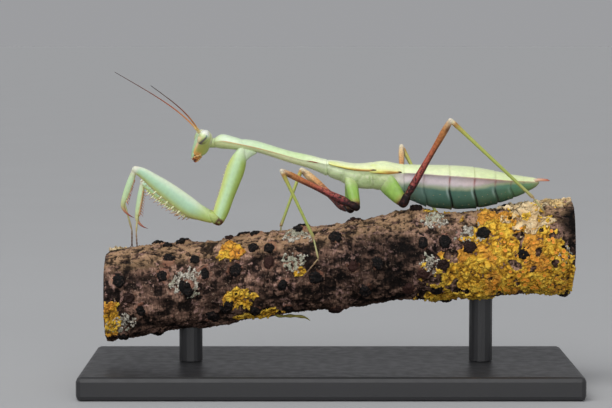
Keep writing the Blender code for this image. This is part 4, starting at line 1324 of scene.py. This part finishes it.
def trunk_finish():
    skin = cuticle("trunk_cuticle")
    along, up = skin.mark("along"), skin.mark("up")
    seam = skin.mark("seam")
    back = skin.run(along, (-23, 176, 184, 118), (-20.2, 206, 222, 166), (-18, 222, 241, 208),
                    (-12, 214, 239, 194), (-5, 214, 237, 178), (-1, 236, 245, 208), (6, 236, 243, 196),
                    (12, 232, 243, 190), (20, 234, 245, 196), (31, 224, 238, 180), (35.9, 226, 232, 186))
    flank = skin.run(along, (-23, 166, 175, 108), (-18, 214, 223, 164), (-8, 230, 234, 182),
                     (-1, 216, 228, 188), (2, 210, 226, 180), (7, 196, 212, 154), (10, 196, 208, 154),
                     (11.5, 220, 216, 200), (14, 212, 198, 200), (20, 204, 192, 194), (28, 198, 174, 172),
                     (31.5, 164, 162, 130), (35.9, 190, 190, 150))
    below = skin.run(along, (-23, 172, 182, 112), (-15, 214, 226, 170), (-6, 228, 234, 176),
                     (-1, 204, 222, 170), (4, 200, 220, 164), (9, 186, 206, 146), (12.6, 152, 176, 156),
                     (15, 116, 148, 140), (18, 86, 126, 114), (28, 82, 120, 102), (32, 90, 140, 110),
                     (34.5, 124, 158, 116), (35.9, 160, 170, 126))
    belly = along.level(12.0, 14.0)
    shade = skin.run(up, (-1, 176, 186, 172), (-0.8, 196, 206, 194), (-0.52, 238, 244, 236),
                     (0, 255, 255, 255))
    below = skin.mix(belly, below, skin.shaded(below, shade))
    height = up + (skin.grain(1.2) - 0.5) * 0.1 - belly * 0.14
    low = height - along.level(23.0, 31.0, 0.0, 0.24)
    skin.colour = skin.mix(low.level(-0.3, -0.56), flank, below)
    skin.lay(low.band(-0.46, 0.12) * belly * 0.4, 170, 180, 124)
    skin.over(height.level(0.0, 0.1), back)
    blotch = skin.grain(0.7, 5.0).level(0.5, 0.66, 0.0, 0.6) * along.band(5.0, 8.0)
    skin.lay(blotch * up.band(-0.4, 0.5), 222, 220, 198)
    green = skin.grain(0.8, 3.0).level(0.46, 0.36) * along.band(6.0, 8.0) * 0.4
    skin.lay(green * up.band(-0.4, 0.5), 126, 160, 80)
    line = up.band(0.02, 0.13) * along.level(-19.6, -17.5) * along.level(-3.5, -12.0)
    skin.lay(line * 0.85, 206, 148, 88)
    skin.lay(up.band(0.0, 0.13) * along.band(-3.0, 1.5) * 1.6, 150, 78, 40)
    # A painted highlight: a pale mint line along each plate's rim, just ahead of its seam.
    skin.lay(skin.mark("painted_rim_highlight") * up.band(-0.45, 0.3) * 0.5, 196, 214, 208)
    skin.lay(seam * up.level(-0.2, -0.45, 0.0, 0.97), 14, 18, 18)
    skin.lay(seam * 0.8 * up.band(-0.05, 0.3), 176, 112, 106)
    skin.lay(seam * up.level(0.15, 0.3, 0.0, 0.25), 190, 190, 130)
    edge = up.band(0.15, 0.06) * along.level(12.0, 15.0) * 0.6
    skin.over(edge, skin.run(along, (12, 225, 190, 190), (22, 205, 175, 150), (26, 205, 140, 90),
                             (36, 200, 130, 80)))
    return skin.paint(0.7, 0.93, 1.05)


def pad_finish():
    skin = cuticle("wing_pad_skin", 0.36)
    along, up, side = skin.mark("along"), skin.mark("up"), skin.mark("side")
    ribbed = skin.run(up, (-0.05, 120, 78, 40), (0.02, 160, 110, 50), (0.07, 232, 214, 96),
                      (0.22, 238, 234, 130), (0.42, 232, 240, 178), (1.0, 226, 240, 194))
    skin.colour = skin.mix(0.6, ribbed, tone(228, 238, 150))
    skin.over(along.level(0.1, 0.35), ribbed)
    skin.lay(side.level(0.5, 0.85) * along.level(0.3, 0.65) * 0.9, 182, 128, 62)
    skin.lay(along.level(0.84, 0.95) * side.level(0.1, 0.6), 78, 50, 32)
    return skin.paint(0.5, 0.95, 1.05)


def head_finish():
    skin = cuticle("head_skin", 0.34, 0.25, 0.015)
    rise, face = skin.mark("along"), skin.mark("up")
    side = skin.mark("side").math("ABSOLUTE")
    # Towards the crown the face and cheeks turn nearly white: a painted highlight on the head's top.
    front = skin.run(rise, (-3.05, 150, 196, 150), (-2, 176, 212, 164), (-0.9, 190, 222, 172),
                     (0.2, 178, 218, 178), (0.7, 222, 234, 210), (1.0, 244, 247, 236), (1.5, 248, 250, 240))
    cheek = skin.run(rise, (-3.05, 208, 150, 80), (-2.5, 206, 160, 88), (-2.1, 172, 168, 84),
                     (-0.8, 176, 184, 98), (0.4, 194, 208, 142), (0.95, 240, 244, 226),
                     (1.76, 248, 250, 240))
    ridge = skin.run(rise, (-3.05, 214, 132, 56), (-2.2, 230, 190, 104), (-1.2, 240, 204, 162),
                     (-0.4, 238, 206, 170), (0.5, 226, 214, 160))
    skin.colour = skin.mix(face.level(0.0, 0.25), cheek, skin.mix(side.level(0.62, 0.8), front, cheek))
    skin.over(side.band(0.77, 0.19) * face.level(0.2, 0.4) * rise.level(0.5, -0.3), ridge)
    skin.lay(face.level(-0.1, -0.7), 184, 192, 112)
    skin.lay(face.level(-0.5, -0.85) * rise.level(-0.8, 0.2) * 0.85, 236, 234, 212)
    return skin.paint(0.4, 0.93, 1.05)


def eye_finish():
    eye = Finish("eye_surface", 0.16)
    high, rear, out = eye.mark("along"), eye.mark("up"), eye.mark("side")
    # Painted shade and painted highlight: the eye is darker at its bottom and nearly white at its top.
    eye.colour = eye.run(high, (-1, 112, 100, 70), (-0.7, 150, 154, 84), (-0.15, 178, 194, 118),
                         (0.2, 208, 220, 168), (0.45, 238, 243, 224), (1, 248, 250, 240))
    eye.lay(high.band(0.24, 0.26) * rear.band(0.34, 0.3) * 0.9, 84, 152, 146)
    eye.lay(rear.level(-0.1, -0.5) * high.level(0.0, -0.4) * 0.8, 240, 216, 172)
    eye.lay(rear.level(-0.6, -0.9) * out.level(0.4, 0.0), 190, 228, 188)
    # A painted shadow: the dark streak along the eye's lower hind edge, under its bulge.
    slope = rear + high * -0.41
    eye.lay(slope.band(0.36, 0.36) * high.level(0.26, 0.0) * 0.92, 84, 70, 84)
    eye.relief(eye.cells(0.07), 0.012)
    eye.set("Coat Weight", 0.6)
    eye.set("Coat Roughness", 0.08)
    return eye.paint(0.3, 0.95, 1.04)


def mouth_finishes():
    """The upper lip's, the jaws' and the palps' skins."""
    lip = run_finish(cuticle("upper_lip_skin", 0.35, 0.2, 0.012), (
        (-4, 214, 200, 160), (-3.8, 222, 228, 200), (-3.4, 176, 206, 160),
        (-2.5, 168, 200, 150)), 0.25, 0.88, 1.08)
    jaw = cuticle("jaw_skin", 0.32, 0.2, 0.015)
    jaw.colour = jaw.run(jaw.mark("along"), (-4.15, 60, 26, 20), (-3.9, 130, 56, 34), (-3.4, 198, 128, 62),
                         (-2.3, 206, 166, 96))
    jaw.lay(jaw.grain(0.45).level(0.54, 0.62) * 0.85, 52, 34, 26)
    palp = cuticle("palp_skin", 0.4, 0.2, 0.01)
    along = palp.mark("along")
    palp.colour = palp.run(along, (0, 206, 160, 90), (0.3, 218, 186, 122), (0.7, 208, 150, 84),
                           (0.86, 170, 84, 48), (1, 96, 40, 30))
    palp.lay((along * 25.0).math("SINE").level(0.55, 0.95, 0.0, 0.8), 44, 30, 24)
    return lip, jaw.paint(), palp.paint()


def fore_hip_finish():
    """Yellow along the toothed front edge, a mint stripe, and olive behind."""
    skin = cuticle("fore_hip_skin")
    along, front = skin.mark("along"), skin.mark("up")
    skin.colour = skin.run(front, (-1, 156, 176, 78), (-0.75, 164, 186, 86), (-0.4, 168, 196, 112),
                           (-0.1, 184, 216, 158), (0.3, 188, 220, 172), (0.6, 190, 214, 146),
                           (0.85, 200, 214, 128), (1, 216, 220, 142))
    root = skin.run(along, (0, 204, 224, 184), (0.2, 184, 212, 150), (1, 184, 212, 150))
    skin.over(along.level(0.2, 0.04), root)
    skin.lay(along.level(0.96, 1.0) * 0.5, 150, 120, 70)
    return skin.paint(0.6, 0.94, 1.05)


def fore_ring_finish():
    skin = cuticle("fore_ring_skin")
    along = skin.mark("along")
    skin.colour = skin.run(along, (0, 150, 156, 84), (0.5, 166, 182, 98), (1, 176, 194, 112))
    scar = along.level(0.45, 0.15) * skin.mark("side").level(-0.6, 0.0)
    skin.lay(scar * skin.grain(0.5, 3.0).level(0.35, 0.5), 84, 50, 32)
    return skin.paint(0.5, 0.85, 1.08)


def fore_thigh_finish():
    """Mint, nearly white along its back, yellow-green below, and pale pink at the knee."""
    skin = cuticle("fore_thigh_skin")
    along, under = skin.mark("along"), skin.mark("up")
    skin.colour = skin.run(under, (-1, 222, 232, 206), (-0.72, 208, 228, 198), (-0.35, 186, 222, 188),
                           (0.2, 180, 216, 176), (0.55, 188, 210, 140), (0.8, 200, 206, 126),
                           (1, 214, 200, 140))
    skin.over(along.level(0.28, 0.05), skin.run(under, (-1, 196, 214, 150), (0, 176, 200, 112),
                                                (1, 190, 190, 96)))
    skin.lay(along.level(0.94, 1.0, 0.0, 0.7), 230, 222, 204)
    return skin.paint(0.6, 0.94, 1.04)


def shin_finish(name, roughness, stops, inner, mottle):
    """A colour along the shin and another along its inner side, as (low, high, share, colour)."""
    skin = cuticle(name, roughness)
    low, high, share, *colour = inner
    skin.colour = skin.run(skin.mark("along"), *stops)
    skin.lay(skin.mark("up").level(low, high, 0.0, share), *colour)
    return skin.paint(*mottle)


def thorn_finish():
    skin = Finish("thorn_surface", 0.35)
    along = skin.mark("along")
    skin.colour = skin.run(along, (-0.25, 206, 216, 150), (0.35, 226, 226, 186), (0.7, 206, 150, 110),
                           (1, 110, 46, 38))
    skin.over(skin.mark("own").level(0.3, 0.8), skin.run(along, (-0.25, 206, 200, 140),
                                                         (0.25, 206, 150, 116), (0.7, 168, 76, 60),
                                                         (1, 70, 26, 24)))
    return skin.relief(skin.grain(0.1), 0.006).paint(0.2, 0.9, 1.06)


def walking_hip_finish():
    skin = cuticle("walking_hip_skin", 0.42)
    along = skin.mark("along")
    green = skin.run(along, (0, 204, 216, 162), (0.26, 190, 208, 146), (0.5, 158, 196, 98),
                     (0.78, 150, 188, 84), (0.88, 160, 164, 76), (0.94, 104, 66, 44), (1, 44, 20, 18))
    # Painted shade: the hip is darkened towards its sides, most towards one of them.
    skin.colour = skin.shaded(green, skin.run(skin.mark("up"), (-1, 205, 215, 190), (0, 255, 255, 255),
                                              (1, 235, 240, 225)))
    skin.lay(skin.grain(0.9, 4.0).level(0.46, 0.6) * along.level(0.5, 0.1, 0.0, 0.6), 206, 208, 186)
    return skin.paint(0.7, 0.88, 1.07)


def walking_ring_finish():
    skin = cuticle("walking_ring_skin", 0.38)
    skin.set("Specular IOR Level", 0.3)
    skin.colour = skin.ramp(skin.grain(0.8, 3.0), (0.35, 10, 4, 5), (0.55, 26, 11, 11), (0.72, 70, 32, 28))
    return skin.paint()


def walking_thigh_finish(name, blotches, *stops):
    """From the root's colour to the knee's, darker and spotted along the underside."""
    skin = cuticle(name, 0.4, 0.3, 0.03)
    along, under = skin.mark("along"), skin.mark("up")
    skin.colour = skin.run(along, *stops)
    skin.lay(under.level(0.1, 0.5) * along.level(0.98, 0.6, 0.0, 0.8), 66, 28, 26)
    # A painted highlight: a pale pinkish streak along the thigh's upper side, strongest near the root.
    skin.lay(under.band(-0.45, 0.4) * along.level(1.0, 0.3, 0.0, 0.35), 206, 140, 116)
    skin.lay(skin.grain(0.4, 4.0).level(0.5, 0.57) * along.level(0.75, 0.1, 0.25, 0.95), 38, 14, 16)
    skin.lay(skin.grain(0.55, 4.0).level(0.56, 0.46) * along.level(0.3, 0.06, 0.0, blotches), 26, 8, 12)
    skin.lay(skin.mark("side").band(0.1, 0.18) * along.level(0.7, 0.2, 0.1, 0.85), 40, 16, 18)
    skin.lay(along.band(0.9, 0.09) * under.level(-0.3, 0.4) * 0.8, 84, 42, 24)
    return skin.paint()


def bark_finish():
    """Dark cracked bark with pink flakes, tan flakes along the top that are painted light, and pale sawn
    wood on its ends.
    """
    bark = Finish("bark_surface", 0.85, 0.15)
    rise, inner = bark.mark("rise"), bark.mark("inner")
    lengthways = bark.place(0.45, 1.0, 1.0)
    bark.colour = bark.ramp(bark.grain(1.6, 6.0, lengthways) + bark.mark("own") * 0.06, (0.34, 26, 17, 13),
                            (0.45, 70, 52, 44), (0.55, 114, 87, 74), (0.7, 176, 140, 120))
    strokes = bark.grain(0.5, 4.0, bark.place(2.6, 0.45, 0.45))
    bark.colour = bark.shaded(bark.colour, strokes.level(0.34, 0.66, 0.62, 1.34))
    stains = bark.grain(0.7, 5.0).level(0.52, 0.62) * bark.grain(5.0).level(0.44, 0.6)
    bark.lay(stains * 0.65, 190, 150, 140)
    # Painted light: the flakes along the branch's top turn tan where the light falls on them.
    top_light_tan = bark.mark("up").level(0.45, 0.85) * bark.grain(0.9, 5.0, lengthways).level(0.36, 0.56)
    bark.lay(top_light_tan * 0.7, 188, 152, 116)
    bark.lay(bark.grain(0.35, 3.0).level(0.6, 0.7) * 0.5, 190, 164, 140)
    bark.lay(rise.level(0.28, 0.5, 0.0, 0.55), 146, 98, 78)
    bark.lay(rise.level(0.02, -0.2, 0.0, 0.9), 14, 9, 8)
    bark.lay(bark.grain(0.9, 5.0).level(0.44, 0.37) * 0.8, 18, 12, 11)
    bark.colour = bark.shaded(bark.colour, bark.mark("shade").level(0.0, 1.6, 1.05, 0.16))
    years = ((inner + bark.grain(2.5) * 0.16) * 74.0).math("SINE").level(-1.0, 1.0)
    wood = bark.ramp(years, (0.0, 208, 182, 138), (0.75, 196, 164, 118), (1.0, 166, 130, 88))
    wood = bark.mottled(bark.mix(inner.level(0.08, 0.04), wood, tone(92, 62, 40)), 0.8, 0.88, 1.08)
    bark.over(inner.level(0.93, 0.9), wood)
    return bark.relief(bark.grain(0.3, 8.0), 0.35).paint()


def lichen_finish(name, low, middle, high, edge, other, lobe):
    """A crust whose hollows, slopes, tops, rims and odd patches each have a colour; its darker hollows and
    folds are painted shade and its lighter tops painted light.
    """
    crust = Finish(name, 0.75, 0.25)
    rise = crust.mark("rise") + (crust.grain(lobe * 0.5, 4.0) - 0.5) * 0.7
    # Painted shade and painted light: darker in the crust's hollows and lighter on its tops.
    crust.colour = crust.ramp(rise, (0.12, *low), (0.42, *middle), (0.8, *high))
    patch = crust.mark("own") + (crust.grain(1.8, 3.0) - 0.5)
    crust.lay(patch.level(0.05, 0.25, 0.0, 0.75), *other)
    crust.lay(crust.mark("edge").level(0.14, 0.02, 0.0, 0.5), *edge)
    fold = crust.cells(lobe, crust.swirled(lobe * 0.8, lobe * 0.5), "DISTANCE_TO_EDGE")
    # Painted shade in the folds between the lobes.
    crust.lay(fold.level(0.1, 0.0) * crust.grain(lobe * 1.5).level(0.42, 0.55, 0.1, 0.75), *low)
    crust.relief(crust.grain(lobe * 0.35, 4.0) + fold.level(0.0, 0.2), 0.2 * lobe)
    return crust.paint(lobe * 0.4, 0.8, 1.12, 4.0)


def knob_finish():
    knob = Finish("knob_surface", 0.6, 0.2)
    pits = knob.grain(0.35, 5.0)
    knob.colour = knob.ramp(pits, (0.42, 4, 3, 3), (0.56, 16, 12, 12), (0.68, 66, 50, 44))
    knob.lay(knob.mark("own").level(0.8, 1.0, 0.0, 0.4), 84, 50, 42)
    return knob.relief(pits, 0.5).paint()


def stand_finish():
    """Satin black acrylic."""
    stand = Finish("stand_acrylic", 0.4)
    stand.relief(stand.grain(0.5, 3.0), 0.01)
    stand.set("Roughness", stand.grain(2.0, 4.0).level(0.3, 0.7, 0.36, 0.46))
    return even_finish(stand, (40, 40, 42), 6.0, 0.97, 1.02)


# ---------------------------------------------------------------- the model

def place_trunk():
    nodes = ["neck", "prothorax", "mesothorax", "metathorax", "abdomen_tip"]
    nodes += [f"abdomen_{number}" for number in range(1, 7)]
    finish_piece(make_trunk(), trunk_finish(), "green_cuticle", *nodes)
    finish_piece(make_spots(), even_finish(cuticle("pale_dots", 0.5), (150, 138, 104), 0.2, 0.85, 1.1),
                 "abdomen_cuticle")
    pads = pad_finish()
    tails = run_finish(cuticle("tail_feeler_skin", 0.45), (
        (0, 222, 205, 178), (0.4, 214, 168, 140), (0.8, 196, 120, 92), (1, 150, 80, 60)), 0.25, 0.9, 1.08)
    for side in SIDES:
        for pair in WING_PADS:
            finish_piece(make_wing_pad(side, pair), pads, "wing_pad", f"wing_pad_{pair}_{side}")
        finish_piece(make_tail_feeler(side), tails, "cercus", f"cercus_{side}")


def place_head():
    finish_piece(make_head(), head_finish(), "green_cuticle", "head")
    eyes = eye_finish()
    rims = even_finish(cuticle("eye_rim_skin", 0.4), (206, 212, 150), 0.25, 0.9, 1.06)
    feelers = Finish("feeler_skin", 0.55)
    feelers.relief(feelers.grain(0.12), 0.01)
    run_finish(feelers, ((0, 226, 220, 168), (0.05, 222, 190, 120), (0.12, 212, 140, 72),
                         (0.35, 176, 96, 58), (0.6, 122, 72, 58), (1, 66, 58, 60)), 0.25, 0.85, 1.1)
    for side in SIDES:
        finish_piece(make_eye(side), eyes, "eye", f"eye_{side}")
        finish_piece(make_eye_rim(side), rims, "green_cuticle")
        finish_piece(make_antenna(side), feelers, "antenna", f"antenna_{side}")
    brow = Finish("brow_eye_surface", 0.12)
    brow.relief(brow.grain(0.08), 0.005)
    finish_piece(make_brow_eyes(), even_finish(brow, (206, 190, 110), 0.1, 0.8, 1.1), "eye")
    for piece, finish, nodes in zip(make_mouth(), mouth_finishes(), (["labrum"], ["mandibles"], [])):
        finish_piece(piece, finish, "mouthparts", *nodes)


def place_legs():
    """Each leg's pieces; a part that the solids have replaces its node, which is hidden, and the others are
    added as new pieces.
    """
    near_thigh = walking_thigh_finish("walking_thigh_skin", 0.95, (0, 60, 20, 22), (0.06, 120, 46, 48),
                                      (0.22, 172, 74, 74), (0.45, 180, 84, 66), (0.7, 192, 112, 60),
                                      (0.88, 196, 134, 74), (0.96, 214, 176, 132), (1, 236, 222, 196))
    far_thigh = walking_thigh_finish("far_thigh_skin", 0.3, (0, 150, 70, 60), (0.1, 186, 84, 82),
                                     (0.35, 188, 92, 68), (0.5, 206, 132, 76), (0.7, 220, 168, 104),
                                     (0.88, 230, 200, 150), (1, 236, 226, 200))
    fore_shin = shin_finish("fore_shin_skin", 0.38, (
        (0, 222, 214, 196), (0.12, 206, 216, 176), (0.3, 198, 226, 182), (0.8, 196, 220, 168),
        (1, 196, 206, 146)), (0.5, 0.95, 0.75, 204, 190, 120), (0.5, 0.94, 1.05))
    walking_shin = shin_finish("walking_shin_skin", 0.42, (
        (0, 232, 222, 192), (0.025, 226, 206, 160), (0.05, 184, 132, 74), (0.1, 190, 176, 88),
        (0.2, 186, 192, 96), (0.75, 174, 188, 96), (0.95, 176, 172, 104), (1, 176, 150, 106)),
        (0.3, 0.9, 0.5, 140, 146, 70), (0.5, 0.9, 1.06))
    feet = run_finish(cuticle("foot_skin", 0.48), (
        (0, 190, 194, 134), (0.4, 184, 174, 122), (0.6, 158, 130, 94), (0.8, 112, 82, 62), (1, 84, 58, 46)),
        0.35, 0.85, 1.08)
    claws = Finish("claw_surface", 0.28)
    claws.relief(claws.grain(0.2, 3.0), 0.012)
    run_finish(claws, ((0, 196, 214, 152), (0.2, 196, 196, 136), (0.45, 190, 130, 98), (0.75, 150, 64, 50),
                       (1, 64, 26, 24)), 0.3, 0.88, 1.08)
    thorns = thorn_finish()
    fore = {"coxa": fore_hip_finish(), "trochanter": fore_ring_finish(), "femur": fore_thigh_finish(),
            "tibia": fore_shin, "tarsus": feet, "claw": claws, "thorns": thorns, "teeth": thorns}
    walking = {"coxa": walking_hip_finish(), "trochanter": walking_ring_finish(), "femur": near_thigh,
               "tibia": walking_shin, "tarsus": feet, "spurs": thorns}
    far_walking = {**walking, "femur": far_thigh}
    slots = {"coxa": "coxa_cuticle", "trochanter": "leg_joint", "femur": "walking_femur",
             "tibia": "walking_tibia", "spurs": "walking_tibia"}
    thorn = make_thorn()
    for side in SIDES:
        for pair in LEG_LENGTHS:
            looks = fore if pair == "fore" else walking if side == "left" else far_walking
            for part, piece in make_leg(side, pair, thorn).items():
                slot = "foot" if part == "tarsus" else "foreleg_cuticle" if pair == "fore" else slots[part]
                node = [f"{pair}_{part}_{side}"] if part in SOLID_PARTS else []
                finish_piece(piece, looks[part], slot, *node)
    remove(thorn)


def place_perch():
    finish_piece(make_bark(), bark_finish(), "bark", "perch_branch")
    golden = lichen_finish("golden_lichen_surface", (78, 48, 14), (220, 162, 44), (250, 206, 74),
                           (250, 214, 100), (232, 156, 62), 1.3)
    pale = lichen_finish("pale_lichen_surface", (92, 66, 44), (226, 190, 138), (248, 222, 176),
                         (246, 230, 194), (234, 200, 134), 1.8)
    grey = lichen_finish("grey_lichen_surface", (44, 36, 30), (168, 158, 142), (234, 228, 212),
                         (232, 226, 212), (190, 190, 166), 0.4)
    cups = run_finish(Finish("lichen_cup_surface", 0.65), (
        (0, 224, 168, 58), (0.3, 246, 204, 84), (0.7, 240, 156, 40), (1, 232, 140, 34)), 0.3, 0.88, 1.1)
    strand = Finish("strand_surface", 0.7)
    strand.relief(strand.grain(0.3, 5.0), 0.15)
    even_finish(strand, (158, 148, 70), 0.6, 0.5, 1.15, 5.0)
    for piece, finish in ((make_crust("golden_lichen", GOLDEN_PATCHES, 0.62, 1.6, 0.55, 0.42), golden),
                          (make_crust("pale_lichen", PALE_PATCHES, 0.85, 3.6, 0.45, 0.5), pale),
                          (make_crust("grey_lichen", GREY_PATCHES, 0.55, 0.45, 0.6, 0.12, 0.12), grey),
                          (make_knobs(), knob_finish()), (make_lichen_cups(), cups),
                          (make_strand(), strand)):
        finish_piece(piece, finish, "bark")


def place_stand():
    finish = stand_finish()
    for name in ("stand_base", "stand_rod_left", "stand_rod_right"):
        wear(bpy.data.objects[name], finish)


def place_studio():
    bpy.ops.mesh.primitive_plane_add(size=200.0)
    floor = named("studio_floor")
    wear(floor, even_finish(Finish("studio_floor_paint", 0.7), (178, 179, 180), 60.0, 0.99, 1.01))
    world = bpy.data.worlds.new("studio_air")
    world.use_nodes = True
    air = world.node_tree.nodes["Background"].inputs
    air["Color"].default_value, air["Strength"].default_value = tone(250, 251, 255), 0.35
    bpy.context.scene.world = world
    for name, kind, spot, size, power in LIGHTS:
        light = bpy.data.lights.new(name, kind)
        light.energy = power
        if kind == "SUN":
            light.angle = size
        else:
            light.shape, light.size = "DISK", size
        lamp = bpy.data.objects.new(name, light)
        lamp.location = spot
        lamp.rotation_euler = (LIGHT_AIM - Vector(spot)).to_track_quat("-Z", "Y").to_euler()
        bpy.context.scene.collection.objects.link(lamp)


def place_camera():
    lens = bpy.data.cameras.new("view")
    lens.sensor_width = SENSOR
    lens.lens = SENSOR * VIEW_REACH / VIEW_WIDTH
    lens.clip_start, lens.clip_end = 0.01, 200.0
    camera = bpy.data.objects.new("view", lens)
    camera.location = CAMERA_PLACE * MM
    camera.rotation_euler = (CAMERA_TILT, 0.0, 0.0)
    bpy.context.scene.collection.objects.link(camera)
    bpy.context.scene.camera = camera
    bpy.context.scene.view_settings.view_transform = "Standard"


place_trunk()
place_head()
place_legs()
place_perch()
place_stand()
place_studio()
place_camera()
